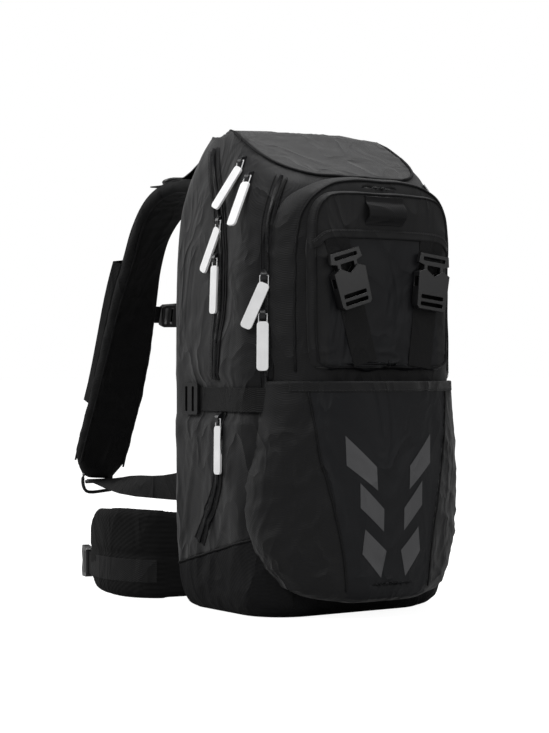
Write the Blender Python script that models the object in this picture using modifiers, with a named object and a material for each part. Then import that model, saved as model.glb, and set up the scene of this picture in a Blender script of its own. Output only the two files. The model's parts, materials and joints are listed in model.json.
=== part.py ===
# Avalanche airbag backpack, about 25 litres.
# Metres, +Z up.  The origin is the middle of the base, on the floor.  The wearer's back is at +Y,
# the front of the pack at -Y, and the wearer's left shoulder at -X.

import math

import bmesh
import bpy
from mathutils import Matrix, Vector

# ---------------------------------------------------------------- driving dimensions
HEIGHT = 0.52                 # floor to the highest edge of the top panel
HALF_WIDTH = 0.131            # widest half of the bag
BACK_Y = 0.08                 # wearer's side of the bag
FRONT_Y = -0.095              # front wall of the main compartment
BACK_RADIUS = 0.03            # upright corners at the wearer's back
FRONT_RADIUS = 0.045          # upright corners at the front
BODY_WALL = 0.003
POCKET_WALL = 0.002
GAP = 0.0003                  # clearance between pieces that touch
SEWN_GAP = 0.0018             # clearance at a sewn edge that folds

SEAM_HEIGHT = 0.0643          # base seam, at the middle of the side
SEAM_TILT = -0.2476           # rise of the base seam towards the front
TOP_MIDDLE = 0.505            # top panel's edge, at the middle of the side
TOP_TILT = 0.55               # slope of the top panel

PANEL_THICK = 0.006           # moulded back panel
SHEET_THICK = 0.002           # frame sheet behind it
PAD_THICK = 0.014             # foam back pads
PAD_HALF_WIDTH = 0.080

FRONT_DEPTH = 0.025           # front compartment
FRONT_POCKET_DEPTH = 0.009
STASH_DEPTH = 0.05            # lower outer pocket, from the main compartment's front wall
STASH_TOP = 0.243

WEB = 0.0016                  # webbing thickness
WIDE_WEB = 0.030
SIDE_WEB = 0.025
THIN_WEB = 0.020

STRAP_WIDTH = 0.066
STRAP_THICK = 0.012
SLEEVE_WIDTH = 0.050
SLEEVE_THICK = 0.014
SLEEVE_WALL = 0.0015
WING_HEIGHT = 0.095
WING_THICK = 0.012
WING_BOTTOM = 0.005

BUCKLE_WIDTH = 0.040
BUCKLE_LENGTH = 0.058
BUCKLE_THICK = 0.010
SMALL_BUCKLE_WIDTH = 0.028
SMALL_BUCKLE_LENGTH = 0.042
SMALL_BUCKLE_THICK = 0.008

SLIDER_LENGTH = 0.013
SLIDER_WIDTH = 0.0062
SLIDER_BASE = 0.0028
EYE_HEIGHT = 0.0048           # middle of the slider's eye above the cloth
WIRE = 0.0006                 # radius of the puller's wire
TAB_WIDTH = 0.012
TAB_LENGTH = 0.050
TAB_THICK = 0.0024
PAIR_STEP = 0.039             # between the two sliders of one zip

CYLINDER_RADIUS = 0.026
CYLINDER_LENGTH = 0.190
NECK_RADIUS = 0.009
NECK_LENGTH = 0.022

PARTS = "avalanche_airbag_backpack"
CUTTERS = "cutters"


# ---------------------------------------------------------------- scene and materials
def clear_scene():
    for old in list(bpy.data.objects):
        bpy.data.objects.remove(old, do_unlink=True)


def new_collection(name):
    group = bpy.data.collections.new(name)
    bpy.context.scene.collection.children.link(group)
    return group


def principled(name, colour, roughness, metallic=0.0):
    mat = bpy.data.materials.new(name)
    mat.use_nodes = True
    shader = mat.node_tree.nodes["Principled BSDF"]
    shader.inputs["Base Color"].default_value = (*colour, 1.0)
    shader.inputs["Roughness"].default_value = roughness
    shader.inputs["Metallic"].default_value = metallic
    mat.diffuse_color = (*colour, 1.0)
    return mat


clear_scene()
parts = new_collection(PARTS)
cutters = new_collection(CUTTERS)

FINISHES = {
    "body_cloth": ((0.022, 0.022, 0.024), 0.75),
    "front_cloth": ((0.018, 0.018, 0.020), 0.70),
    "base_cloth": ((0.010, 0.010, 0.011), 0.80),
    "mesh_foam": ((0.006, 0.006, 0.007), 0.90),
    "webbing": ((0.012, 0.012, 0.013), 0.70),
    "black_plastic": ((0.014, 0.014, 0.015), 0.35),
    "pull_rubber": ((0.82, 0.82, 0.84), 0.45),
    "airbag_nylon": ((0.80, 0.10, 0.03), 0.55),
    "cylinder_paint": ((0.55, 0.56, 0.58), 0.30),
    "alloy": ((0.60, 0.60, 0.62), 0.30),
}
METALS = {"alloy": 1.0}
palette = {n: principled(n, c, r, METALS.get(n, 0.0)) for n, (c, r) in FINISHES.items()}


# ---------------------------------------------------------------- building blocks
def add(name, mesh, finish, matrix=None):
    mesh.materials.clear()
    mesh.materials.append(palette[finish])
    piece = bpy.data.objects.new(name, mesh)
    parts.objects.link(piece)
    if matrix is not None:
        piece.matrix_world = matrix
    return piece


def mesh_of(name, points, faces):
    mesh = bpy.data.meshes.new(name)
    mesh.from_pydata([tuple(p) for p in points], [], faces)
    return mesh


def frame(origin, across, along):
    """Local X runs across the piece, local Z along it and local Y out of its face."""
    x = Vector(across).normalized()
    z = (Vector(along) - x * Vector(along).dot(x)).normalized()
    y = z.cross(x)
    return Matrix((
        (x.x, y.x, z.x, origin[0]),
        (x.y, y.y, z.y, origin[1]),
        (x.z, y.z, z.z, origin[2]),
        (0.0, 0.0, 0.0, 1.0)))


def smooth_path(points, per_span):
    """A Catmull-Rom curve through points of any dimension."""
    knots = [Vector(p) for p in points]
    ends = [knots[0] * 2 - knots[1]] + knots + [knots[-1] * 2 - knots[-2]]
    path = []
    for a, b, c, d in zip(ends, ends[1:], ends[2:], ends[3:]):
        for step in range(per_span):
            t = step / per_span
            path.append((b * 2 + (c - a) * t + (a * 2 - b * 5 + c * 4 - d) * t * t
                         + (b * 3 - a - c * 3 + d) * t * t * t) / 2)
    return path + [knots[-1]]


def arc(centre, radius, start, end, steps):
    turns = [math.radians(start + (end - start) * i / steps) for i in range(steps + 1)]
    return [(centre[0] + radius * math.cos(t), centre[1] + radius * math.sin(t)) for t in turns]


def rounded_rect(width, height, radius, steps=3):
    x, z = width / 2 - radius, height / 2 - radius
    corners = ((x, z, 0), (-x, z, 90), (-x, -z, 180), (x, -z, 270))
    return [p for cx, cz, turn in corners for p in arc((cx, cz), radius, turn, turn + 90, steps)]


def mirrored_shell(name, rings, wall, finish, start_joined, end_joined):
    """Half rings at x > 0, each mirrored, skinned in order; the last ring is filled across."""
    count = len(rings[0])
    points = []
    for ring in rings:
        points += [(x, y, z) for x, y, z in ring] + [(-x, y, z) for x, y, z in ring]
    faces = []
    for k in range(len(rings) - 1):
        low, high = 2 * count * k, 2 * count * (k + 1)
        for half in (0, count):
            for i in range(half, half + count - 1):
                faces.append((low + i, low + i + 1, high + i + 1, high + i))
        joined = [0] * start_joined + [count - 1] * end_joined
        for i in joined:
            faces.append((low + i, low + i + count, high + i + count, high + i))
    last = 2 * count * (len(rings) - 1)
    for i in range(count - 1):
        faces.append((last + i, last + i + 1, last + i + 1 + count, last + i + count))
    mesh = mesh_of(name, points, faces)
    skin = bmesh.new()
    skin.from_mesh(mesh)
    bmesh.ops.recalc_face_normals(skin, faces=skin.faces)
    middle = sum((v.co for v in skin.verts), Vector()) / len(skin.verts)
    if sum(f.normal.dot(f.calc_center_median() - middle) * f.calc_area() for f in skin.faces) < 0:
        bmesh.ops.reverse_faces(skin, faces=skin.faces)
    skin.to_mesh(mesh)
    skin.free()
    piece = add(name, mesh, finish)
    thick = piece.modifiers.new("wall", "SOLIDIFY")
    thick.thickness = wall
    thick.offset = -1.0
    thick.use_even_offset = True
    return piece


def sweep(name, path, sides, widths, thicks, finish, corner=0.0, matrix=None, twisted=False):
    """A strap: a flat section carried along a path, its width along the side vectors."""
    count = len(path)
    points = []
    for i, p in enumerate(path):
        along = (path[min(i + 1, count - 1)] - path[max(i - 1, 0)]).normalized()
        side = Vector(sides[i])
        side = (side - along * side.dot(along)).normalized()
        out = along.cross(side)
        half, depth = widths[i] / 2, thicks[i] / 2
        cut = min(corner, depth * 0.8)
        section = [(half, depth - cut), (half, cut - depth), (half - cut, -depth), (cut - half, -depth),
                   (-half, cut - depth), (-half, depth - cut), (cut - half, depth), (half - cut, depth)]
        if cut == 0.0:
            section = section[0::2]
        points += [p + side * a + out * b for a, b in section]
    ring = len(points) // count
    faces = [tuple(range(ring)), tuple(range(len(points) - 1, len(points) - ring - 1, -1))]
    for k in range(count - 1):
        for i in range(ring):
            j = (i + 1) % ring
            faces.append((k * ring + j, k * ring + i, (k + 1) * ring + i, (k + 1) * ring + j))
    mesh = mesh_of(name, points, faces)
    solid = bmesh.new()
    solid.from_mesh(mesh)
    bmesh.ops.recalc_face_normals(solid, faces=solid.faces)
    if solid.calc_volume(signed=True) < 0:
        bmesh.ops.reverse_faces(solid, faces=solid.faces)
    if twisted:
        bmesh.ops.triangulate(solid, faces=solid.faces)
    solid.to_mesh(mesh)
    solid.free()
    return add(name, mesh, finish, matrix)


def curve_mesh(name, splines, extrude=0.0, bevel=0.0, cyclic=True):
    """A flat outline, its first spline outside and the rest holes, or a wire when bevel is set."""
    data = bpy.data.curves.new(name, "CURVE")
    data.dimensions = "3D" if bevel else "2D"
    data.fill_mode = "FULL" if bevel else "BOTH"
    data.extrude = extrude
    data.bevel_depth = bevel
    data.bevel_resolution = 2
    data.use_fill_caps = bool(bevel)
    for outline in splines:
        spline = data.splines.new("POLY")
        spline.points.add(len(outline) - 1)
        for point, spot in zip(spline.points, outline):
            point.co = (*spot, 1.0) if len(spot) == 3 else (*spot, 0.0, 1.0)
        spline.use_cyclic_u = cyclic
    guide = bpy.data.objects.new(name + "_curve", data)
    parts.objects.link(guide)
    bpy.context.view_layer.update()
    graph = bpy.context.evaluated_depsgraph_get()
    mesh = bpy.data.meshes.new_from_object(guide.evaluated_get(graph))
    bpy.data.objects.remove(guide, do_unlink=True)
    welded = bmesh.new()
    welded.from_mesh(mesh)
    bmesh.ops.remove_doubles(welded, verts=welded.verts, dist=0.00001)
    bmesh.ops.recalc_face_normals(welded, faces=welded.faces)
    welded.to_mesh(mesh)
    welded.free()
    return mesh


UPRIGHT = Matrix.Rotation(math.radians(90), 4, "X")      # an outline's plane becomes X and Z


def plate(name, outline, holes, thick, finish, matrix):
    """A flat outline in the piece's own X and Z; its back lies on the piece's own X-Z plane."""
    mesh = curve_mesh(name, [outline] + holes, extrude=thick / 2)
    mesh.transform(Matrix.Translation((0, thick / 2, 0)) @ UPRIGHT)
    return add(name, mesh, finish, matrix)


def turned(name, profile, finish, matrix, steps=24):
    """A profile of (radius, height) down its outer side, turned about the piece's own Z."""
    mesh = bpy.data.meshes.new(name)
    mesh.from_pydata([(r, 0, h) for r, h in profile], [(i, i + 1) for i in range(len(profile) - 1)], [])
    piece = add(name, mesh, finish, matrix)
    screw = piece.modifiers.new("turn", "SCREW")
    screw.steps = steps
    screw.render_steps = steps
    screw.use_merge_vertices = True
    screw.merge_threshold = 0.00005
    screw.use_normal_calculate = False
    return piece


def block_cutter(name, size, matrix):
    mesh = bpy.data.meshes.new(name)
    shape = bmesh.new()
    bmesh.ops.create_cube(shape, size=1.0, matrix=Matrix.Diagonal((*size, 1.0)))
    shape.to_mesh(mesh)
    shape.free()
    cutter = bpy.data.objects.new(name, mesh)
    cutters.objects.link(cutter)
    cutter.matrix_world = matrix
    cutter.hide_render = True
    cutter.display_type = "WIRE"
    return cutter


def cut(piece, cutter, operation="DIFFERENCE"):
    step = piece.modifiers.new(cutter.name, "BOOLEAN")
    step.operation = operation
    step.object = cutter


# ---------------------------------------------------------------- the bag's own sections
def level_ring(height, tilt, cap, half_width, set_back):
    """Half a section of the bag, from the wearer's back round to the front."""
    front = FRONT_Y + set_back
    half = arc((half_width - BACK_RADIUS, BACK_Y - BACK_RADIUS), BACK_RADIUS, 90, 0, 4)
    half += arc((half_width - FRONT_RADIUS, front + FRONT_RADIUS), FRONT_RADIUS, 0, -90, 5)
    return [(x, y, min(cap, height + tilt * y)) for x, y in half]


BODY_LEVELS = (              # height at y = 0, tilt, highest z, half width, set-back of the front
    (SEAM_HEIGHT + GAP, SEAM_TILT, HEIGHT, HALF_WIDTH - 0.003, 0.0),
    (0.120, 0.0, HEIGHT, HALF_WIDTH - 0.001, 0.0),
    (0.200, 0.0, HEIGHT, HALF_WIDTH, 0.0),
    (0.300, 0.0, HEIGHT, HALF_WIDTH - 0.001, 0.0),
    (0.380, 0.0, HEIGHT, HALF_WIDTH - 0.004, 0.0),
    (0.425, 0.12, HEIGHT, HALF_WIDTH - 0.010, 0.0),
    (0.462, 0.32, HEIGHT, HALF_WIDTH - 0.0175, 0.0),
    (0.488, 0.48, HEIGHT - 0.008, HALF_WIDTH - 0.026, 0.004),
    (TOP_MIDDLE, TOP_TILT, HEIGHT, HALF_WIDTH - 0.037, 0.012),
)
BASE_LEVELS = (
    (SEAM_HEIGHT, SEAM_TILT, HEIGHT, HALF_WIDTH - 0.003, 0.0),
    (0.022, 0.0, HEIGHT, HALF_WIDTH - 0.006, 0.0),
    (0.006, 0.0, HEIGHT, HALF_WIDTH - 0.013, 0.007),
    (0.000, 0.0, HEIGHT, HALF_WIDTH - 0.023, 0.017),
)


def side_at(y, z):
    """Half width of the bag's side at a place, and how fast it falls with height."""
    rows = [(min(cap, height + tilt * y), half) for height, tilt, cap, half, _ in BODY_LEVELS]
    for (low, wide), (high, narrow) in zip(rows, rows[1:]):
        if z <= high:
            return wide + (narrow - wide) * (z - low) / (high - low), (narrow - wide) / (high - low)
    return rows[-1][1], -1.0


def make_body():
    rings = [level_ring(*level) for level in BODY_LEVELS]
    mirrored_shell("main_shell", rings, BODY_WALL, "body_cloth", False, True)
    base = [level_ring(*level) for level in BASE_LEVELS]
    mirrored_shell("base_panel", base, BODY_WALL, "base_cloth", True, True)

    # the back panel fills the opening between the shell's two back edges
    edge = [ring[0] for ring in rings[:-2]]
    low = SEAM_HEIGHT + SEAM_TILT * BACK_Y + 2 * GAP
    right = [(x - SEWN_GAP, max(z, low)) for x, _, z in edge]
    right.append((right[-1][0] - 0.022, HEIGHT - BODY_WALL - 0.010))
    outline = right + [(-x, z) for x, z in reversed(right)]
    plate("back_panel", outline, [], PANEL_THICK, "mesh_foam",
          Matrix.Translation((0, BACK_Y - PANEL_THICK, 0)))


# ---------------------------------------------------------------- pockets on the front
FRONT_FACE = FRONT_Y - GAP - FRONT_DEPTH
POCKET_FACE = FRONT_FACE - GAP - FRONT_POCKET_DEPTH
STASH_FACE = FRONT_Y - GAP - STASH_DEPTH


def scaled(outline, inset, top, bottom, open_top):
    """The outline drawn in by an inset on every closed side."""
    widest = max(x for x, _ in outline)
    middle = top if open_top else (top + bottom) / 2
    reach = middle - bottom
    return [(x * (widest - inset) / widest, middle + (z - middle) * (reach - inset) / reach)
            for x, z in outline]


def pocket(name, outline, levels, finish, open_top=False):
    """A tub that is open towards the bag: each level is (y, inset)."""
    top, bottom = outline[0][1], outline[-1][1]
    rings = []
    for y, inset in levels:
        rings.append([(x, y, z) for x, z in scaled(outline, inset, top, bottom, open_top)])
    return mirrored_shell(name, rings, POCKET_WALL, finish, not open_top, True)


def make_pockets():
    front = smooth_path(((0.030, 0.4500), (0.066, 0.445), (0.097, 0.422), (0.110, 0.385), (0.113, 0.330),
                         (0.111, 0.260), (0.104, 0.180), (0.101, 0.110), (0.092, 0.062), (0.062, 0.036),
                         (0.020, 0.031)), 2)
    pocket("front_compartment", front,
           ((FRONT_Y - GAP, 0.034), (FRONT_Y - 0.010, 0.005), (FRONT_FACE + 0.008, 0.0),
            (FRONT_FACE + 0.002, 0.003), (FRONT_FACE, 0.010)), "front_cloth")
    upper = smooth_path(((0.030, 0.4360), (0.066, 0.434), (0.084, 0.418), (0.088, 0.390), (0.088, 0.330),
                         (0.087, 0.275), (0.078, 0.257), (0.030, 0.2550)), 2)
    pocket("front_pocket", upper,
           ((FRONT_FACE - GAP, 0.0), (POCKET_FACE + 0.003, 0.0), (POCKET_FACE, 0.004)), "front_cloth")
    stash = smooth_path(((0.1165, STASH_TOP), (0.1200, 0.190), (0.1240, 0.120), (0.1160, 0.066),
                         (0.0900, 0.030), (0.0500, 0.018), (0.0200, 0.017)), 3)
    pocket("stash_pocket", stash,
           ((FRONT_Y - GAP, 0.030), (FRONT_Y - 0.011, 0.004), (STASH_FACE + 0.014, 0.0),
            (STASH_FACE + 0.004, 0.005), (STASH_FACE, 0.014)), "front_cloth", open_top=True)


# ---------------------------------------------------------------- back panel, frame and airbag system
SHEET_Y = BACK_Y - PANEL_THICK - GAP - SHEET_THICK       # front face of the frame sheet
PANEL_MIDDLE = 0.270
CYLINDER_X = 0.062
CYLINDER_Z = 0.090


def make_back():
    plate("frame_sheet", rounded_rect(2 * PAD_HALF_WIDTH, 0.400, 0.030), [], SHEET_THICK, "black_plastic",
          Matrix.Translation((0, SHEET_Y, PANEL_MIDDLE)))
    for name, low, high in (("lumbar_pad", 0.055, 0.205), ("back_pad", 0.225, 0.425)):
        middle = Matrix.Translation((0, BACK_Y + GAP, (low + high) / 2))
        pad = plate(name, rounded_rect(2 * PAD_HALF_WIDTH, high - low, 0.022), [], PAD_THICK, "mesh_foam",
                    middle)
        edge = pad.modifiers.new("edge", "BEVEL")
        edge.width = 0.003
        edge.segments = 1
        edge.limit_method = "ANGLE"
        edge.angle_limit = math.radians(60)


def make_airbag_system():
    # the folded airbag lies under the top panel, against the frame sheet
    depth, height, low = 0.060, 0.055, 0.392
    airbag = plate("airbag", rounded_rect(0.170, height, 0.018), [], depth, "airbag_nylon",
                   Matrix.Translation((0, SHEET_Y - GAP - depth, low + height / 2)))
    edge = airbag.modifiers.new("fold", "BEVEL")
    edge.width = 0.008
    edge.segments = 2
    edge.limit_method = "ANGLE"
    edge.angle_limit = math.radians(60)

    axis_y = SHEET_Y - GAP - CYLINDER_RADIUS
    top = CYLINDER_Z + CYLINDER_LENGTH
    spot = Matrix.Translation((CYLINDER_X, axis_y, 0))
    crown = arc((0, 0), 1.0, 90, 0, 5)
    shoulder = [(NECK_RADIUS + (CYLINDER_RADIUS - NECK_RADIUS) * c, top - 0.016 + 0.016 * s)
                for c, s in crown]
    foot = [(CYLINDER_RADIUS, CYLINDER_Z + 0.010), (CYLINDER_RADIUS - 0.003, CYLINDER_Z + 0.003),
            (CYLINDER_RADIUS - 0.009, CYLINDER_Z), (0, CYLINDER_Z)]
    neck = [(0, top + NECK_LENGTH), (NECK_RADIUS, top + NECK_LENGTH)]
    turned("gas_cylinder", neck + shoulder + foot, "cylinder_paint", spot)

    head_low, head_high, head_radius = top + 0.004, top + 0.046, 0.017
    bore = NECK_RADIUS + GAP
    roof = top + NECK_LENGTH + GAP
    turned("valve_head", [(0, head_high), (head_radius - 0.002, head_high), (head_radius, head_high - 0.002),
                          (head_radius, head_low), (bore, head_low), (bore, roof), (0, roof)], "alloy", spot)

    # the inflator block joins the valve to the airbag's neck
    block_low, block_high = head_high + GAP, low - GAP
    mesh = bpy.data.meshes.new("inflator")
    shape = bmesh.new()
    bmesh.ops.create_cube(shape, size=1.0)
    shape.to_mesh(mesh)
    shape.free()
    size = (0.064, 0.046, block_high - block_low)
    mesh.transform(Matrix.Diagonal((*size, 1.0)))
    middle = (CYLINDER_X - 0.010, SHEET_Y - GAP - size[1] / 2, (block_low + block_high) / 2)
    block = add("inflator", mesh, "black_plastic", Matrix.Translation(middle))
    rounded = block.modifiers.new("edge", "BEVEL")
    rounded.width = 0.006
    rounded.segments = 2


# ---------------------------------------------------------------- zip sliders and their pulls
def slider_and_pull(name, place, across, along, lean):
    """A slider on the cloth at a place, and the tab that hangs from its eye.

    across x along is the way out of the cloth."""
    on_cloth = frame(place, across, along)
    eye = on_cloth @ Matrix.Translation((0, EYE_HEIGHT, 0))
    half = SLIDER_LENGTH / 2
    bow, hole = 0.0044, 0.0013
    # the side view: a flat base with an arched bow over the eye, in local (along, out)
    outline = [(-half, GAP), (half, GAP), (half, SLIDER_BASE)] \
        + [(bow * math.cos(t), EYE_HEIGHT + (bow - 0.0018) * math.sin(t))
           for t in (math.radians(a) for a in range(0, 181, 30))] + [(-half, SLIDER_BASE)]
    ring = [(hole * math.cos(t), EYE_HEIGHT + hole * math.sin(t))
            for t in (math.radians(a) for a in range(0, 360, 45))]
    mesh = curve_mesh(name + "_slider", [outline, ring], extrude=SLIDER_WIDTH / 2)
    # outline (along, out, across) to local (across, out from the eye, along)
    mesh.transform(Matrix(((0, 0, 1, 0), (0, 1, 0, -EYE_HEIGHT), (1, 0, 0, 0), (0, 0, 0, 1))))
    mesh.flip_normals()
    add(name + "_slider", mesh, "black_plastic", eye)

    arm, reach = SLIDER_WIDTH / 2 + WIRE + 0.0007, SLIDER_LENGTH / 2 + 0.003
    loop = [(-arm, 0, 0), (arm, 0, 0), (arm, 0, -reach), (-arm, 0, -reach)]
    tab = curve_mesh(name + "_tab", [rounded_rect(TAB_WIDTH, TAB_LENGTH, 0.0035)], extrude=TAB_THICK / 2)
    hang = Matrix.Translation((0, 0, -reach)) @ Matrix.Rotation(lean, 4, "Y")
    tab.transform(hang @ Matrix.Translation((0, 0, 0.002 - TAB_LENGTH / 2)) @ UPRIGHT)
    pull = add(name + "_pull", tab, "pull_rubber", eye)
    wire = bpy.data.objects.new(name + "_wire", curve_mesh(name + "_wire", [loop], bevel=WIRE))
    cutters.objects.link(wire)
    wire.matrix_world = eye
    wire.hide_render = True
    wire.display_type = "WIRE"
    cut(pull, wire, "UNION")


def side_slider(name, y, z, lean):
    """A slider on the left side wall."""
    half, fall = side_at(y, z)
    step = 0.004
    taper = (side_at(y + step, z)[0] - side_at(y - step, z)[0]) / (2 * step)
    slider_and_pull(name, (-half - GAP / 2, y, z), (-taper, 1, 0), (-fall, 0, 1), lean)


def corner_slider(name, turn, z, lean):
    """A slider on the rounded front corner, turned from the side by an angle in degrees."""
    half, fall = side_at(FRONT_Y + FRONT_RADIUS, z)
    t = math.radians(turn)
    centre = (half - FRONT_RADIUS, FRONT_Y + FRONT_RADIUS)
    radius = FRONT_RADIUS * math.cos(math.radians(9)) + GAP / 2      # the facet's own distance
    place = (-centre[0] - radius * math.cos(t), centre[1] - radius * math.sin(t), z)
    slider_and_pull(name, place, (-math.sin(t), math.cos(t), 0),
                    (-fall * math.cos(t), -fall * math.sin(t), 1), lean)


LEAN = -math.radians(24)     # towards the wearer


def make_zips():
    side_slider("top_zip_upper", -0.030, 0.470, LEAN)
    side_slider("top_zip_lower", -0.050, 0.452, 0.0)
    side_slider("side_zip_upper", -0.014, 0.409, LEAN)
    side_slider("side_zip_lower", -0.014, 0.409 - PAIR_STEP, 0.0)
    corner_slider("front_zip_upper", 45, 0.350, LEAN)
    corner_slider("front_zip_lower", 45, 0.350 - PAIR_STEP, 0.0)
    side_slider("radio_zip", -0.026, 0.204, 0.0)


# ---------------------------------------------------------------- webbing and plastic hardware
def side_of(hand):
    return "left" if hand < 0 else "right"


def webbing(name, points, side, width, per_span=3, finish="webbing"):
    path = smooth_path(points, per_span)
    count = len(path)
    return sweep(name, path, [side] * count, [width] * count, [WEB] * count, finish)


def ladder_lock(name, matrix, web_width, pitch=0.017):
    """A flat frame with two slots; its end edge lies on the piece's own X axis."""
    wide, long = web_width + 0.008, 2 * pitch - 0.003
    slot = rounded_rect(web_width + 0.0015, 0.0045, 0.001, 2)
    holes = [[(x, z - long / 2 + spot) for x, z in slot] for spot in (0.0065, -0.0065)]
    frame_outline = [(x, z - long / 2) for x, z in rounded_rect(wide, long, 0.003)]
    return plate(name, frame_outline, holes, 0.003, "black_plastic", matrix)


BUCKLE_WALL = 0.0018


def buckle_slot(width, height):
    return [(x, z + height) for x, z in rounded_rect(width * 0.72, 0.004, 0.001, 2)]


def hollow_half(name, matrix, width, length, thick):
    """The hollow half of a side-release buckle; its mouth looks up the piece's own Z."""
    half, mouth, low_end = width / 2, length * 0.10, -length * 0.62
    outline = [(-half, mouth - 0.004), (-half * 0.55, mouth), (0, mouth - length * 0.12),
               (half * 0.55, mouth), (half, mouth - 0.004), (half * 0.94, low_end + 0.003),
               (half * 0.80, low_end), (-half * 0.80, low_end), (-half * 0.94, low_end + 0.003)]
    slots = [buckle_slot(width, low_end + 0.0055), buckle_slot(width, low_end + 0.0130)]
    shell = plate(name, outline, slots, thick, "black_plastic", matrix)
    depth, inside = length * 0.40, thick - 2 * BUCKLE_WALL
    room = Matrix.Translation((0, thick / 2, mouth + 0.001 - depth / 2))
    cut(shell, block_cutter(name + "_room", (width - 0.012, inside, depth), matrix @ room))
    for hand in (-1, 1):
        window = Matrix.Translation((hand * half, thick / 2, mouth - length * 0.24))
        cut(shell, block_cutter(name + "_window", (0.016, inside, length * 0.17), matrix @ window))


def pronged_half(name, matrix, width, length, thick):
    """The half with two prongs, which point down the piece's own Z."""
    half, mouth, high = width / 2, length * 0.10, length * 0.38
    low = mouth + 0.004
    prong, root = half - 0.0075, half - 0.0115
    reach = mouth - length * 0.40 + 0.003
    outline = [(half, low + 0.002), (half * 0.92, high), (-half * 0.92, high), (-half, low + 0.002),
               (-prong, low), (-prong, reach + 0.004), (-root, reach), (-root, low), (root, low),
               (root, reach), (prong, reach + 0.004), (prong, low)]
    tongue = thick - 2 * BUCKLE_WALL - 0.001
    offset = Matrix.Translation((0, (thick - tongue) / 2, 0))
    plate(name, outline, [buckle_slot(width, high - 0.0055)], tongue, "black_plastic", matrix @ offset)


# ---------------------------------------------------------------- straps across the front pocket
STRAP_TOP_Z = 0.392
STRAP_SLANTS = {-1: math.radians(16), 1: math.radians(-7)}


def make_front_straps():
    for hand in (-1, 1):
        slant = STRAP_SLANTS[hand]
        down = Vector((math.sin(slant), 0, -math.cos(slant)))
        across = Vector((math.cos(slant), 0, math.sin(slant)))
        top = Vector((0.062 * hand, POCKET_FACE - GAP - WEB / 2, STRAP_TOP_Z))
        side = side_of(hand)
        lay = [top + down * d for d in (0.0, 0.010, 0.0215)]
        webbing("front_tab_" + side, lay, across, WIDE_WEB, 1)
        lay = [top + down * d for d in (0.0225, 0.060, 0.100, 0.136)]
        webbing("front_webbing_" + side, lay, across, WIDE_WEB, 1)
        spot = top + down * 0.040 + Vector((0, -WEB / 2 - GAP, 0))
        matrix = frame(spot, -across, -down)
        hollow_half("front_buckle_female_" + side, matrix, BUCKLE_WIDTH, BUCKLE_LENGTH, BUCKLE_THICK)
        pronged_half("front_buckle_male_" + side, matrix, BUCKLE_WIDTH, BUCKLE_LENGTH, BUCKLE_THICK)


# ---------------------------------------------------------------- compression straps on the sides
COMPRESS_Z = 0.224


def make_compression():
    half, _ = side_at(0, COMPRESS_Z)
    lift = GAP + WEB / 2
    for hand in (-1, 1):
        round_front = arc((half - FRONT_RADIUS, FRONT_Y + FRONT_RADIUS), FRONT_RADIUS + lift + 0.0003,
                          0, -52, 5)
        run = [(half + lift, 0.048), (half + lift, 0.020), (half + lift, -0.020)] + round_front
        path = [Vector((hand * x, y, COMPRESS_Z)) for x, y in run]
        count = len(path)
        sweep("compression_webbing_" + side_of(hand), path, [(0, 0, 1)] * count, [SIDE_WEB] * count,
              [WEB] * count, "webbing")
        # the lock's slots stand upright, its free end points forwards
        face = half + 2 * GAP + WEB
        matrix = frame((hand * face, 0.046, COMPRESS_Z), (0, 0, hand), (0, 1, 0))
        ladder_lock("compression_lock_" + side_of(hand), matrix, SIDE_WEB)


# ---------------------------------------------------------------- shoulder straps
PANEL_OUT = BACK_Y + GAP
STRAP_KNOTS = ((0.055, PANEL_OUT + 0.0007, 0.455), (0.055, PANEL_OUT + 0.016, 0.455), (0.061, 0.145, 0.458),
               (0.066, 0.190, 0.444), (0.070, 0.222, 0.414), (0.073, 0.240, 0.376), (0.076, 0.252, 0.335),
               (0.079, 0.266, 0.280), (0.082, 0.281, 0.230), (0.088, 0.302, 0.170), (0.093, 0.312, 0.128))
STRAP_TURNS = (0, 0, 4, 16, 26, 26, 16, 6, 0, 0, 0)       # degrees of twist at each knot


def strap_path(hand):
    path = smooth_path([(hand * x, y, z) for x, y, z in STRAP_KNOTS], 3)
    path[1].x, path[1].z = path[0].x, path[0].z          # it leaves the panel squarely
    turns = [v.x for v in smooth_path([(t, 0, 0) for t in STRAP_TURNS], 3)]
    sides = [Vector((math.cos(math.radians(t)), -hand * math.sin(math.radians(t)), 0)) for t in turns]
    return path, sides


def out_of(path, sides, i):
    along = (path[min(i + 1, len(path) - 1)] - path[max(i - 1, 0)]).normalized()
    side = (sides[i] - along * sides[i].dot(along)).normalized()
    normal = side.cross(along)
    return along, side, normal if normal.y + normal.z > 0 else -normal


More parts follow.
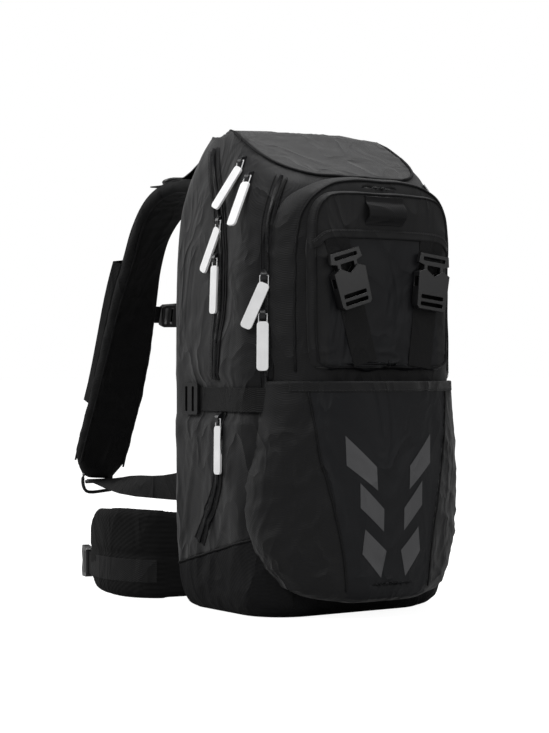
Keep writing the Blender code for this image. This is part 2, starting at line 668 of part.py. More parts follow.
def make_straps():
    for hand in (-1, 1):
        side = side_of(hand)
        path, sides = strap_path(hand)
        count = len(path)
        widths = [STRAP_WIDTH] * count
        widths[0], widths[-1], widths[-2] = STRAP_WIDTH - 0.006, 0.034, 0.056
        thicks = [STRAP_THICK] * count
        thicks[0] = 0.008
        sweep("shoulder_strap_" + side, path, sides, widths, thicks, "mesh_foam", 0.004)

        # webbing from the strap's tip back to the pack, spreading into a sewn wing
        along, across, out = out_of(path, sides, count - 1)
        tip = path[-1] + along * 0.0042
        corner = Vector((hand * 0.095, PANEL_OUT + 0.0009, 0.128))
        run = smooth_path([tip, tip.lerp(corner, 0.3) - Vector((0, 0, 0.004)),
                           tip.lerp(corner, 0.7) - Vector((0, 0, 0.004)),
                           corner + Vector((0, 0.010, 0)), corner], 3)
        run[-2].x, run[-2].z = corner.x, corner.z
        spread = [SIDE_WEB if i < 6 else SIDE_WEB + (0.044 - SIDE_WEB) * (i - 5) / (len(run) - 6)
                  for i in range(len(run))]
        turn = [Vector((1, 0, 0)).lerp(Vector((hand * 0.2, 0, 1)), min(1.0, i / 6)) for i in range(len(run))]
        sweep("lower_webbing_" + side, run, turn, spread, [WEB] * len(run), "webbing", twisted=True)
        # load lifter from the top of the pack over the strap
        high = [Vector((hand * 0.074, PANEL_OUT + 0.0007, 0.484)), Vector((hand * 0.074, 0.090, 0.484)),
                Vector((hand * 0.070, 0.118, 0.4745)), Vector((hand * 0.067, 0.150, 0.4668)),
                Vector((hand * 0.067, 0.180, 0.4640)), Vector((hand * 0.070, 0.210, 0.4640))]
        webbing("load_lifter_" + side, high, (1, 0, 0), THIN_WEB, 2)


SLEEVE_SHIFT = 0.006          # the sleeve sits towards the strap's outer edge
SLEEVE_FIRST, SLEEVE_LAST = 15, 26


def make_sleeve():
    """A zipped sleeve on the left strap; the trigger handle is stowed inside it."""
    path, sides = strap_path(-1)
    spots = [(path[i],) + out_of(path, sides, i) for i in range(SLEEVE_FIRST, SLEEVE_LAST)]
    lift = STRAP_THICK / 2 + GAP + SLEEVE_THICK / 2
    run = [p + out * lift - side * SLEEVE_SHIFT for p, _, side, out in spots]
    across = [side for _, _, side, _ in spots]
    count = len(run)
    sleeve = sweep("strap_sleeve", run, across, [SLEEVE_WIDTH] * count, [SLEEVE_THICK] * count, "body_cloth",
                   0.0015)
    middle = [run[0] + (run[0] - run[1])] + run + [run[-1] + (run[-1] - run[-2])]
    room = sweep("sleeve_room", middle, [across[0]] + across + [across[-1]],
                 [SLEEVE_WIDTH - 2 * SLEEVE_WALL] * (count + 2), [SLEEVE_THICK - 2 * SLEEVE_WALL] * (count + 2),
                 "body_cloth")
    parts.objects.unlink(room)
    cutters.objects.link(room)
    room.hide_render = True
    room.display_type = "WIRE"
    cut(sleeve, room)
    return run, across


def make_trigger(run, across):
    # the handle lies along the straight lower half of the sleeve
    high, low = run[4], run[9]
    axis = (low - high).normalized()
    middle = (high + low) / 2
    matrix = frame(middle, across[6], -axis)
    grip = plate("trigger_handle", rounded_rect(0.026, 0.074, 0.008), [], 0.0072, "pull_rubber",
                 matrix @ Matrix.Translation((0, -0.0036, 0)))
    edge = grip.modifiers.new("edge", "BEVEL")
    edge.width = 0.002
    edge.segments = 1
    edge.limit_method = "ANGLE"
    edge.angle_limit = math.radians(60)

    # the cable housing leaves the grip inside the sleeve and climbs the strap to the back panel
    path, sides = strap_path(-1)
    radius, inward = 0.002, 0.012
    route = [middle - axis * (0.037 + GAP + 0.0006)]
    route += [run[i] for i in (3, 2, 1, 0)]
    for i in range(SLEEVE_FIRST - 2, 2, -2):
        _, side, out = out_of(path, sides, i)
        route.append(path[i] + out * (STRAP_THICK / 2 + radius + 0.0012) + side * inward)
    route.append(Vector((route[-1].x, PANEL_OUT + 0.0006, route[-1].z)))
    cable = curve_mesh("trigger_cable", [[tuple(p) for p in smooth_path(route, 3)]], bevel=radius, cyclic=False)
    add("trigger_cable", cable, "black_plastic")


# ---------------------------------------------------------------- sternum strap
STERNUM_Z = 0.314


def make_sternum():
    room = 5 * GAP
    ends = {-1: 0.62 * SMALL_BUCKLE_LENGTH + room, 1: 0.38 * SMALL_BUCKLE_LENGTH + room}
    for hand in (-1, 1):
        path, sides = strap_path(hand)
        level = min(range(len(path)), key=lambda i: abs(path[i].z - STERNUM_Z))
        down, side, out = out_of(path, sides, level)
        face = path[level] + out * (STRAP_THICK / 2 + 4 * GAP + WEB / 2)
        sewn = face - side * hand * 0.0215
        edge = face - side * hand * 0.0350
        start = Vector((hand * ends[hand], edge.y + 0.004, edge.z))
        webbing("sternum_webbing_" + side_of(hand), [sewn, edge, edge.lerp(start, 0.4), start], down,
                THIN_WEB, 1)
    matrix = frame(Vector((0, start.y, start.z)), down, (1, 0, 0))
    matrix = matrix @ Matrix.Translation((0, -SMALL_BUCKLE_THICK / 2, 0))
    size = (SMALL_BUCKLE_WIDTH, SMALL_BUCKLE_LENGTH, SMALL_BUCKLE_THICK)
    hollow_half("sternum_buckle_female", matrix, *size)
    pronged_half("sternum_buckle_male", matrix, *size)


# ---------------------------------------------------------------- hip belt
WING_KNOTS = ((0.097, PANEL_OUT + 0.0007), (0.097, 0.089), (0.110, 0.104), (0.130, 0.122),
              (0.143, 0.150), (0.147, 0.180), (0.143, 0.210), (0.135, 0.235))
BELT_Z = 0.034


def make_hip_belt():
    lift = Vector((0, 0, 1))
    for hand in (-1, 1):
        side = side_of(hand)
        flat = smooth_path([(hand * x, y, 0) for x, y in WING_KNOTS], 3)
        count = len(flat)
        widths = [WING_HEIGHT * (0.84 + 0.16 * math.sin(math.pi * i / count)) for i in range(count)]
        widths[-3], widths[-2], widths[-1] = WING_HEIGHT * 0.80, WING_HEIGHT * 0.70, WING_HEIGHT * 0.56
        path = [p + lift * (WING_BOTTOM + WING_HEIGHT / 2) for p in flat]
        root = [0.002, 0.002, 0.003, 0.006, 0.009]           # thin where it is sewn on and folds
        thicks = root + [WING_THICK] * (count - len(root))
        sweep("hip_wing_" + side, path, [lift] * count, widths, thicks, "mesh_foam", 0.004)

        outer = []
        for i in range(8, count):
            along = (flat[min(i + 1, count - 1)] - flat[i - 1]).normalized()
            out = along.cross(lift) * hand
            outer.append(flat[i] + lift * BELT_Z + out * (WING_THICK / 2 + 2 * GAP + WEB / 2))
        along = (outer[-1] - outer[-2]).normalized()
        outer.append(outer[-1] + along * 0.006)
        sweep("hip_webbing_" + side, outer, [lift] * len(outer), [SIDE_WEB] * len(outer),
              [WEB] * len(outer), "webbing")
        size = (BUCKLE_WIDTH * 0.9, SMALL_BUCKLE_LENGTH, SMALL_BUCKLE_THICK)
        centre = Matrix.Translation((0, -SMALL_BUCKLE_THICK / 2, 0))
        if hand < 0:
            spot = outer[-1] + along * (0.62 * SMALL_BUCKLE_LENGTH + 2 * GAP)
            hollow_half("hip_buckle_female", frame(spot, lift, along) @ centre, *size)
        else:
            spot = outer[-1] + along * (0.38 * SMALL_BUCKLE_LENGTH + 2 * GAP)
            pronged_half("hip_buckle_male", frame(spot, lift, -along) @ centre, *size)


def make_loops():
    # haul loop on the wearer's side of the top
    rise = [(-0.034, 0.4660), (-0.034, 0.482), (-0.026, 0.497), (0, 0.505), (0.026, 0.497), (0.034, 0.482),
            (0.034, 0.4660)]
    y = PANEL_OUT + 0.0063
    path = smooth_path([(x, y + 0.006 * math.sin(math.pi * i / 6), z) for i, (x, z) in enumerate(rise)], 3)
    sides = [(0, 1, 0)] * len(path)
    sweep("haul_loop", path, sides, [0.012] * len(path), [0.003] * len(path), "webbing")
    # small folded loop at the top of the front pocket
    half, top = 0.024, 0.432
    y = POCKET_FACE - GAP - 0.0009
    fold = [(0, y, top), (0, y, top - 0.006), (0, y - 0.006, top - 0.012), (0, y - 0.007, top - 0.020),
            (0, y - 0.001, top - 0.026), (0, y, top - 0.029)]
    webbing("tool_loop", fold, (1, 0, 0), 2 * half, 2, "front_cloth")


make_body()
make_pockets()
make_back()
make_airbag_system()
make_zips()
make_front_straps()
make_compression()
make_straps()
make_trigger(*make_sleeve())
make_sternum()
make_hip_belt()
make_loops()
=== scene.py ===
import json
import math
import bpy
import bmesh
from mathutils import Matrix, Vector, noise
from mathutils.bvhtree import BVHTree


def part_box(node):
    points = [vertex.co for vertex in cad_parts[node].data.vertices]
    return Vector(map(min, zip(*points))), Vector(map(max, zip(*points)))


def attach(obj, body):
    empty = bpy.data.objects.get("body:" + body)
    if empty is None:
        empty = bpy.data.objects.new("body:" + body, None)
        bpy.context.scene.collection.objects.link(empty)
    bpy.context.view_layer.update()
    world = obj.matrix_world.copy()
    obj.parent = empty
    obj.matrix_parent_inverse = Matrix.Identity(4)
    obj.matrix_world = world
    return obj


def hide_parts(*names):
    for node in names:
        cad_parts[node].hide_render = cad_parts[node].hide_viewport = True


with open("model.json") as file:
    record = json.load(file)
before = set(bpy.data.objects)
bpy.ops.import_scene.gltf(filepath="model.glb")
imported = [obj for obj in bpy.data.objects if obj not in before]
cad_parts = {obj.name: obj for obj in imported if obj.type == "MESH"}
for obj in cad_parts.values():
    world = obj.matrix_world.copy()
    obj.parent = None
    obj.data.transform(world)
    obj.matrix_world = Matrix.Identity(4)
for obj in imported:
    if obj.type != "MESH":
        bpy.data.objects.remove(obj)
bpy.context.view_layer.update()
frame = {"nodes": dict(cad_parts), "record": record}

scene = bpy.context.scene
scene.view_settings.view_transform = "Standard"


# small helpers -------------------------------------------------------------

def smoothPath(points, perSpan):
    # a Catmull-Rom curve through points of any dimension
    knots = [Vector(p) for p in points]
    ends = [knots[0] * 2 - knots[1]] + knots + [knots[-1] * 2 - knots[-2]]
    path = []
    for a, b, c, d in zip(ends, ends[1:], ends[2:], ends[3:]):
        for step in range(perSpan):
            t = step / perSpan
            path.append((b * 2 + (c - a) * t + (a * 2 - b * 5 + c * 4 - d) * t * t
                         + (b * 3 - a - c * 3 + d) * t * t * t) / 2)
    return path + [knots[-1]]


def mix(a, b, t):
    return a + (b - a) * t


def step01(low, high, x):
    t = max(0.0, min(1.0, (x - low) / (high - low)))
    return t * t * (3 - 2 * t)


def ridge(x, y, z, size, seed):
    # soft creases: thin crests between flat stretches, from -0.2 to 1
    n = noise.noise(Vector((x / size + seed, y / size, z / size)))
    return max(0.0, 1.0 - abs(n) * 3.2) ** 2


def bumps(x, y, z, size, seed):
    return noise.noise(Vector((x / size, y / size + seed, z / size)))


def newPiece(name, verts, faces, finishes, slots=None, uvs=None, smooth=True):
    mesh = bpy.data.meshes.new(name)
    mesh.from_pydata([tuple(v) for v in verts], [], faces)
    for finish in finishes:
        mesh.materials.append(finish)
    if slots:
        mesh.polygons.foreach_set("material_index", slots)
    if uvs:
        layer = mesh.uv_layers.new(name="cloth")
        for loop in mesh.loops:
            layer.data[loop.index].uv = uvs[loop.vertex_index]
    if smooth:
        mesh.shade_smooth()
    piece = bpy.data.objects.new(name, mesh)
    scene.collection.objects.link(piece)
    return piece


def fixNormals(piece):
    solid = bmesh.new()
    solid.from_mesh(piece.data)
    bmesh.ops.remove_doubles(solid, verts=solid.verts, dist=0.00002)
    bmesh.ops.recalc_face_normals(solid, faces=solid.faces)
    middle = sum((v.co for v in solid.verts), Vector()) / len(solid.verts)
    facing = sum(f.normal.dot(f.calc_center_median() - middle) * f.calc_area() for f in solid.faces)
    if facing < 0:
        bmesh.ops.reverse_faces(solid, faces=solid.faces)
    solid.to_mesh(piece.data)
    solid.free()


def thicken(piece, wall):
    mod = piece.modifiers.new("wall", "SOLIDIFY")
    mod.thickness = wall
    mod.offset = -1.0


# shader groups --------------------------------------------------------------

def makeGroup(name, inputs, outputs):
    tree = bpy.data.node_groups.new(name, "ShaderNodeTree")
    for label, kind, value in inputs:
        socket = tree.interface.new_socket(label, in_out="INPUT", socket_type=kind)
        if value is not None:
            socket.default_value = value
    for label, kind in outputs:
        tree.interface.new_socket(label, in_out="OUTPUT", socket_type=kind)
    return tree, tree.nodes.new("NodeGroupInput"), tree.nodes.new("NodeGroupOutput")


def mathNode(tree, kind, a, b=None):
    node = tree.nodes.new("ShaderNodeMath")
    node.operation = kind
    for socket, value in zip(node.inputs, (a, b)):
        if value is None:
            continue
        if isinstance(value, (int, float)):
            socket.default_value = value
        else:
            tree.links.new(value, socket)
    return node.outputs[0]


def weaveGroup():
    # crossing threads in object space, one set across x plus y and one along z
    tree, start, end = makeGroup("clothWeave", [
        ("Threads", "NodeSocketFloat", 900.0), ("Uneven", "NodeSocketFloat", 0.4)],
        [("Height", "NodeSocketFloat"), ("Tone", "NodeSocketFloat")])
    coord = tree.nodes.new("ShaderNodeTexCoord")
    split = tree.nodes.new("ShaderNodeSeparateXYZ")
    tree.links.new(coord.outputs["Object"], split.inputs[0])
    level = mathNode(tree, "ADD", split.outputs["X"], split.outputs["Y"])
    across = mathNode(tree, "SINE", mathNode(tree, "MULTIPLY", level, start.outputs["Threads"]))
    along = mathNode(tree, "SINE", mathNode(tree, "MULTIPLY", split.outputs["Z"], start.outputs["Threads"]))
    weave = mathNode(tree, "MULTIPLY", across, along)
    cloud = tree.nodes.new("ShaderNodeTexNoise")
    cloud.inputs["Scale"].default_value = 34.0
    cloud.inputs["Detail"].default_value = 5.0
    tree.links.new(coord.outputs["Object"], cloud.inputs["Vector"])
    uneven = mathNode(tree, "MULTIPLY", cloud.outputs["Fac"], start.outputs["Uneven"])
    tree.links.new(weave, end.inputs["Height"])
    tree.links.new(mathNode(tree, "ADD", mathNode(tree, "MULTIPLY", weave, 0.12), uneven), end.inputs["Tone"])
    return tree


def crinkleGroup():
    # soft folds: thin crests between flat stretches of thin cloth
    tree, start, end = makeGroup("clothCrinkle", [("Size", "NodeSocketFloat", 22.0)],
                                 [("Height", "NodeSocketFloat")])
    coord = tree.nodes.new("ShaderNodeTexCoord")
    stretch = tree.nodes.new("ShaderNodeMapping")
    stretch.inputs["Rotation"].default_value = (0.5, 0.4, 0.3)
    stretch.inputs["Scale"].default_value = (1.0, 1.0, 0.55)
    tree.links.new(coord.outputs["Object"], stretch.inputs["Vector"])
    cloud = tree.nodes.new("ShaderNodeTexNoise")
    cloud.inputs["Detail"].default_value = 2.5
    cloud.inputs["Roughness"].default_value = 0.45
    cloud.inputs["Distortion"].default_value = 0.6
    tree.links.new(start.outputs["Size"], cloud.inputs["Scale"])
    tree.links.new(stretch.outputs["Vector"], cloud.inputs["Vector"])
    away = mathNode(tree, "ABSOLUTE", mathNode(tree, "SUBTRACT", cloud.outputs["Fac"], 0.5))
    crest = mathNode(tree, "POWER", mathNode(tree, "MAXIMUM", mathNode(tree, "SUBTRACT", 1.0, mathNode(
        tree, "MULTIPLY", away, 5.0)), 0.0), 1.6)
    tree.links.new(mathNode(tree, "ADD", crest, cloud.outputs["Fac"]), end.inputs["Height"])
    return tree


weave = weaveGroup()
crinkle = crinkleGroup()


def addGroup(tree, group, **values):
    node = tree.nodes.new("ShaderNodeGroup")
    node.node_tree = group
    for label, value in values.items():
        node.inputs[label].default_value = value
    return node


def clothFinish(name, dark, light, roughness, depth, group, sheen=0.0, crease=22.0, **values):
    mat = bpy.data.materials.new(name)
    mat.use_nodes = True
    tree = mat.node_tree
    shader = tree.nodes["Principled BSDF"]
    cloth = addGroup(tree, group, **values)
    ramp = tree.nodes.new("ShaderNodeValToRGB")
    ramp.color_ramp.elements[0].color = (*dark, 1)
    ramp.color_ramp.elements[1].color = (*light, 1)
    tree.links.new(cloth.outputs["Tone"], ramp.inputs["Fac"])
    tree.links.new(ramp.outputs["Color"], shader.inputs["Base Color"])
    bump = tree.nodes.new("ShaderNodeBump")
    bump.inputs["Strength"].default_value = 0.6
    bump.inputs["Distance"].default_value = depth
    tree.links.new(cloth.outputs["Height"], bump.inputs["Height"])
    folds = addGroup(tree, crinkle, Size=crease)
    fold = tree.nodes.new("ShaderNodeBump")
    fold.inputs["Strength"].default_value = 0.9
    fold.inputs["Distance"].default_value = 0.0022 if crease else 0.0
    tree.links.new(folds.outputs["Height"], fold.inputs["Height"])
    tree.links.new(bump.outputs["Normal"], fold.inputs["Normal"])
    tree.links.new(fold.outputs["Normal"], shader.inputs["Normal"])
    shader.inputs["Roughness"].default_value = roughness
    shader.inputs["Sheen Weight"].default_value = sheen
    shader.inputs["Sheen Roughness"].default_value = 0.5
    shader.inputs["Specular IOR Level"].default_value = 0.2
    return mat


def plasticFinish(name, colour, roughness, grain=0.00004, metallic=0.0):
    mat = bpy.data.materials.new(name)
    mat.use_nodes = True
    tree = mat.node_tree
    shader = tree.nodes["Principled BSDF"]
    coord = tree.nodes.new("ShaderNodeTexCoord")
    speck = tree.nodes.new("ShaderNodeTexNoise")
    speck.inputs["Scale"].default_value = 900.0
    tree.links.new(coord.outputs["Object"], speck.inputs["Vector"])
    cloud = tree.nodes.new("ShaderNodeTexNoise")
    cloud.inputs["Scale"].default_value = 60.0
    cloud.inputs["Detail"].default_value = 6.0
    tree.links.new(coord.outputs["Object"], cloud.inputs["Vector"])
    ramp = tree.nodes.new("ShaderNodeValToRGB")
    ramp.color_ramp.elements[0].color = (*[c * 0.82 for c in colour], 1)
    ramp.color_ramp.elements[1].color = (*[min(1, c * 1.15) for c in colour], 1)
    tree.links.new(cloud.outputs["Fac"], ramp.inputs["Fac"])
    tree.links.new(ramp.outputs["Color"], shader.inputs["Base Color"])
    spread = mathNode(tree, "ADD", mathNode(tree, "MULTIPLY", cloud.outputs["Fac"], 0.16), roughness - 0.08)
    tree.links.new(spread, shader.inputs["Roughness"])
    bump = tree.nodes.new("ShaderNodeBump")
    bump.inputs["Strength"].default_value = 0.5
    bump.inputs["Distance"].default_value = grain
    tree.links.new(speck.outputs["Fac"], bump.inputs["Height"])
    tree.links.new(bump.outputs["Normal"], shader.inputs["Normal"])
    shader.inputs["Metallic"].default_value = metallic
    return mat


sideCloth = clothFinish("sideCloth", (0.0045, 0.0045, 0.005), (0.0085, 0.0085, 0.0095), 0.62, 0.00012, weave,
                        sheen=0.15, Threads=2600.0)
# the top panel's cloth: the side cloth's weave, a little glossier, with its colour painted lighter than the sides as
# painted light where the top faces the lamps
topClothPaintedLight = clothFinish("topClothPaintedLight", (0.0055, 0.0055, 0.006), (0.0105, 0.0105, 0.011), 0.56, 0.00012, weave,
                       sheen=0.2, Threads=2600.0)
baseCloth = clothFinish("baseCloth", (0.0015, 0.0015, 0.002), (0.0035, 0.0035, 0.004), 0.7, 0.0002, weave,
                        Threads=1500.0, Uneven=0.6)
frontCloth = clothFinish("frontCloth", (0.0045, 0.0045, 0.005), (0.009, 0.009, 0.0095), 0.6, 0.00012, weave,
                         sheen=0.12, Threads=2600.0)
panelCloth = clothFinish("panelCloth", (0.007, 0.0073, 0.0085), (0.011, 0.0115, 0.0130), 0.55, 0.00008, weave,
                         Threads=3200.0, Uneven=0.25)
meshCloth = clothFinish("meshCloth", (0.0012, 0.0012, 0.0012), (0.0042, 0.0042, 0.0045), 0.85, 0.0004, weave,
                        Threads=1100.0, Uneven=0.5)
strapCloth = clothFinish("strapCloth", (0.0022, 0.0022, 0.0024), (0.0055, 0.0055, 0.006), 0.75, 0.0002, weave,
                         Threads=2000.0, Uneven=0.6)
pipeCloth = clothFinish("pipeCloth", (0.0025, 0.0025, 0.003), (0.006, 0.006, 0.0065), 0.6, 0.0001, weave,
                        Threads=3600.0)
printGrey = clothFinish("printGrey", (0.075, 0.075, 0.078), (0.105, 0.105, 0.108), 0.5, 0.00006, weave,
                        Threads=3200.0)
webbingCloth = clothFinish("webbingCloth", (0.0028, 0.0028, 0.003), (0.008, 0.008, 0.0085), 0.62, 0.0003, weave,
                           Threads=2900.0)
loopCloth = clothFinish("loopCloth", (0.004, 0.004, 0.0045), (0.009, 0.009, 0.0095), 0.6, 0.0002, weave,
                        Threads=2600.0)
sliderMetal = plasticFinish("sliderMetal", (0.012, 0.012, 0.013), 0.32, metallic=0.3)
threadBlack = plasticFinish("threadBlack", (0.012, 0.012, 0.013), 0.7)
blackPlastic = plasticFinish("blackPlastic", (0.006, 0.006, 0.0065), 0.34)
coilPlastic = plasticFinish("coilPlastic", (0.008, 0.008, 0.009), 0.3)
pullRubber = plasticFinish("pullRubber", (0.93, 0.93, 0.94), 0.5)
airbagCloth = clothFinish("airbagCloth", (0.55, 0.05, 0.012), (0.80, 0.10, 0.03), 0.55, 0.0001, weave)
cylinderPaint = plasticFinish("cylinderPaint", (0.50, 0.51, 0.53), 0.32)
machinedAlloy = plasticFinish("machinedAlloy", (0.60, 0.60, 0.62), 0.3, metallic=1.0)
print("finishes made")


# the bag's body --------------------------------------------------------------

bodySize = {"backY": 0.08, "frontY": -0.095, "frontRadius": 0.047}
# height at y = 0, tilt, highest z, half width, set-back of the front, radius of the back corners
bodyLevels = ((0.0, 0.0, 0.52, 0.108, 0.017, 0.03), (0.006, 0.0, 0.52, 0.118, 0.007, 0.027),
              (0.022, 0.0, 0.52, 0.125, 0.001, 0.024), (0.0643, -0.2476, 0.52, 0.128, 0.0, 0.022),
              (0.12, -0.05, 0.52, 0.130, 0.0, 0.020), (0.20, 0.0, 0.52, 0.131, 0.0, 0.020),
              (0.30, 0.0, 0.52, 0.1305, 0.0, 0.019), (0.38, 0.02, 0.52, 0.128, 0.0, 0.018),
              (0.425, 0.12, 0.52, 0.1225, 0.0, 0.022), (0.462, 0.32, 0.52, 0.1145, 0.0, 0.050),
              (0.488, 0.48, 0.502, 0.106, 0.003, 0.078), (0.503, 0.56, 0.509, 0.096, 0.010, 0.090))
levelPath = smoothPath(bodyLevels, 12)
seamIndex, topIndex = 36, len(levelPath) - 1


def outlineAt(half, setBack, rb):
    # the ring's half at x > 0, from the middle of the back round to the middle of the front
    back, front = bodySize["backY"], bodySize["frontY"] + setBack
    rf = bodySize["frontRadius"]
    ring = [((half - rb) * i / 8, back) for i in range(8)]
    for i in range(9):
        t = math.radians(90 - 90 * i / 8)
        ring.append((half - rb + rb * math.cos(t), back - rb + rb * math.sin(t)))
    low, high = front + rf, back - rb
    ring += [(half, mix(high, low, i / 26)) for i in range(1, 26)]
    for i in range(11):
        t = math.radians(-90 * i / 10)
        ring.append((half - rf + rf * math.cos(t), front + rf + rf * math.sin(t)))
    return ring + [((half - rf) * (1 - i / 14), front) for i in range(1, 15)]


def bodyShape(x, y, z, hand):
    # cloth swell and creases, outwards in metres
    calm = 1 - 0.75 * step01(0.27, 0.32, z) * step01(0.03, 0.0, y)   # flat under the zip pulls
    swell = 0.0026 * math.sin(math.pi * step01(0.03, 0.5, z)) * step01(0.078, 0.02, y) * calm
    soft = 0.0016 * bumps(x, y, z * 0.6, 0.05, 3.0 + hand) * calm + 0.0007 * bumps(x, y, z, 0.018, 8.0 + hand)
    pulled = math.exp(-((z - 0.224) / 0.05) ** 2)
    radial = math.atan2(z - 0.225, y - 0.07)
    creases = 0.0022 * pulled * ridge(radial * 0.12, 0.0, 0.0, 0.02, 5.0 + hand) * step01(-0.06, 0.05, y)
    slack = 0.0018 * ridge(x, y * 1.6 + z * 0.5, z * 0.45, 0.045, 21.0 + hand) * step01(0.36, 0.26, z)
    held = step01(0.024, 0.015, abs(z - 0.224))      # pressed in under the side webbing
    return (swell + soft + creases + slack) * (1 - held) - 0.0009 * held


def makeBody():
    rings = []
    for h, tilt, cap, half, setBack, rb in levelPath:
        rings.append([(x, y, min(cap, h + tilt * y)) for x, y in outlineAt(half, setBack, rb)])
    count = len(rings[0])
    # close the base and the top with rings drawn in towards the middle line
    def drawnIn(ring, t, rise):
        return [(x * (1 - t), mix(y, -0.005, t * 0.9), z + rise(x, y, t)) for x, y, z in ring]
    steps = 10
    low = [drawnIn(rings[0], 1 - i / steps, lambda x, y, t: 0.0) for i in range(steps)]
    def lid(x, y, t):
        newY = mix(y, -0.005, t * 0.9)
        h, tilt, cap = bodyLevels[-1][:3]
        return min(cap, h + tilt * newY) - min(cap, h + tilt * y) + 0.003 * math.sin(t * math.pi / 2)
    high = [drawnIn(rings[-1], (i + 1) / 14, lid) for i in range(14)]
    rows = low + rings + high
    verts = []
    for row in rows:
        for hand in (1, -1):
            for x, y, z in row:
                verts.append(Vector((hand * x, y, z)))
    quads, kinds = [], []
    seam, top = steps + seamIndex, steps + topIndex
    for k in range(len(rows) - 1):
        for hand in range(2):
            for i in range(count - 1):
                a, b = 2 * count * k + hand * count + i, 2 * count * (k + 1) + hand * count + i
                quads.append((a, a + 1, b + 1, b))
                kinds.append(2 if k < seam else (1 if k >= top else 0))
    # slot 1, the top panel, takes the cloth whose colour is painted lighter as painted light
    body = newPiece("bagBody", verts, quads, [sideCloth, topClothPaintedLight, baseCloth], kinds)
    fixNormals(body)
    return body, rings


body, bodyRings = makeBody()


def swellBody(piece):
    mesh = piece.data
    normals = [v.normal.copy() for v in mesh.vertices]
    for v, n in zip(mesh.vertices, normals):
        x, y, z = v.co
        hand = 40.0 if x > 0 else 0.0
        free = step01(0.079, 0.06, y) * step01(0.004, 0.03, z)
        if n.z > 0.75 and z > 0.44:
            lift = 0.0014 * bumps(x, y, z, 0.06, 11.0) + 0.0010 * ridge(x * 0.6, y, z, 0.05, 13.0)
        else:
            lift = bodyShape(x, y, z, hand)
        v.co += n * lift * free


def splitBase(piece):
    # the base panel becomes a piece of its own along the seam
    low = piece.copy()
    low.data = piece.data.copy()
    low.name = "baseCup"
    scene.collection.objects.link(low)
    for part, keep in ((piece, (0, 1)), (low, (2,))):
        mesh = bmesh.new()
        mesh.from_mesh(part.data)
        drop = [f for f in mesh.faces if f.material_index not in keep]
        bmesh.ops.delete(mesh, geom=drop, context="FACES")
        mesh.to_mesh(part.data)
        mesh.free()
        part.data.update()
    return low


swellBody(body)
base = splitBase(body)
for piece, node in ((body, "main_shell"), (base, "base_panel")):
    thicken(piece, 0.0022)
    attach(piece, "pack")
    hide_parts(node)
print("body made")


# pockets ---------------------------------------------------------------------

def halfOutline(knots, perSpan):
    return [(p.x, p.y) for p in smoothPath([(x, z, 0) for x, z in knots], perSpan)]


def bentSides(x):
    return 15.0 * max(0.0, abs(x) - 0.07) ** 2      # the front curves back towards the bag's corners


def bentPocket(x):
    return 3.2 * x * x


def tub(name, outline, levels, columns, shape, finishes, pick, bend=bentSides, openTop=False, wall=0.0016):
    # levels are (y, inset); the last ring is filled by rows from side to side
    top, bottom = outline[0][1], outline[-1][1]
    widest = max(x for x, _ in outline)
    middle = top if openTop else (top + bottom) / 2
    reach = middle - bottom
    def drawn(inset):
        return [(x * (widest - inset) / widest, middle + (z - middle) * (reach - inset) / reach)
                for x, z in outline]
    verts, faces = [], []
    count = len(outline)
    rings = [(y, drawn(inset)) for y, inset in levels]
    for y, ring in rings:
        for hand in (1, -1):
            verts += [Vector((hand * x, y, z)) for x, z in ring]
    for k in range(len(rings) - 1):
        a, b = 2 * count * k, 2 * count * (k + 1)
        for hand in range(2):
            for i in range(count - 1):
                faces.append((a + hand * count + i, a + hand * count + i + 1,
                              b + hand * count + i + 1, b + hand * count + i))
        for i in ([] if openTop else [0]) + [count - 1]:
            faces.append((a + i, a + count + i, b + count + i, b + i))
    lastY, lastRing = rings[-1]
    start = len(verts)
    for x, z in lastRing:
        for j in range(columns + 1):
            verts.append(Vector((x * (1 - 2 * j / columns), lastY, z)))
    wide = columns + 1
    for i in range(count - 1):
        for j in range(columns):
            a = start + i * wide + j
            faces.append((a, a + 1, a + wide + 1, a + wide))
    piece = newPiece(name, verts, faces, finishes)
    fixNormals(piece)
    mesh = piece.data
    for polygon in mesh.polygons:
        polygon.material_index = pick(*polygon.center)
    normals = [v.normal.copy() for v in mesh.vertices]
    for v, n in zip(mesh.vertices, normals):
        x, y, z = v.co
        v.co += n * shape(x, y, z)
        v.co.y += bend(x)
    thicken(piece, wall)
    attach(piece, "pack")
    return piece


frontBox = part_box("front_compartment")
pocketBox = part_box("front_pocket")
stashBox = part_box("stash_pocket")
frontFace, pocketFace, stashFace = frontBox[0][1], pocketBox[0][1], stashBox[0][1] + 0.002

frontKnots = ((0.004, 0.4520), (0.034, 0.4515), (0.066, 0.445), (0.097, 0.422), (0.110, 0.385),
              (0.1135, 0.330), (0.112, 0.260), (0.105, 0.180), (0.101, 0.110), (0.092, 0.062), (0.062, 0.036),
              (0.020, 0.031), (0.002, 0.031))
pocketKnots = ((0.002, 0.4368), (0.040, 0.4366), (0.070, 0.433), (0.085, 0.417), (0.0885, 0.390),
               (0.0885, 0.330), (0.087, 0.275), (0.078, 0.257), (0.030, 0.2552), (0.002, 0.2552))
stashKnots = ((0.1165, 0.243), (0.1200, 0.190), (0.1255, 0.120), (0.1175, 0.066), (0.0910, 0.030),
              (0.0500, 0.018), (0.0200, 0.0165), (0.002, 0.0165))


def frontShape(x, y, z):
    edge = step01(0.113, 0.09, abs(x)) * step01(0.452, 0.43, z)
    side = step01(0.08, 0.105, abs(x))
    folds = 0.0020 * side * ridge(x, y * 0.4, z * 1.3 + x * 0.5, 0.024, 31.0) * step01(0.42, 0.38, z)
    return 0.0022 * edge + 0.0012 * bumps(x, y, z, 0.04, 17.0) + folds


def pocketShape(x, y, z):
    inside = step01(0.088, 0.078, abs(x))
    sag = 0.0030 * inside * math.sin(math.pi * step01(0.25, 0.44, z))
    low = 0.0028 * ridge(x * 0.35, 0.0, z, 0.013, 41.0) * step01(0.30, 0.262, z) * inside
    return sag * 0.5 + low * 0.7 + 0.0008 * bumps(x, y, z, 0.03, 43.0)


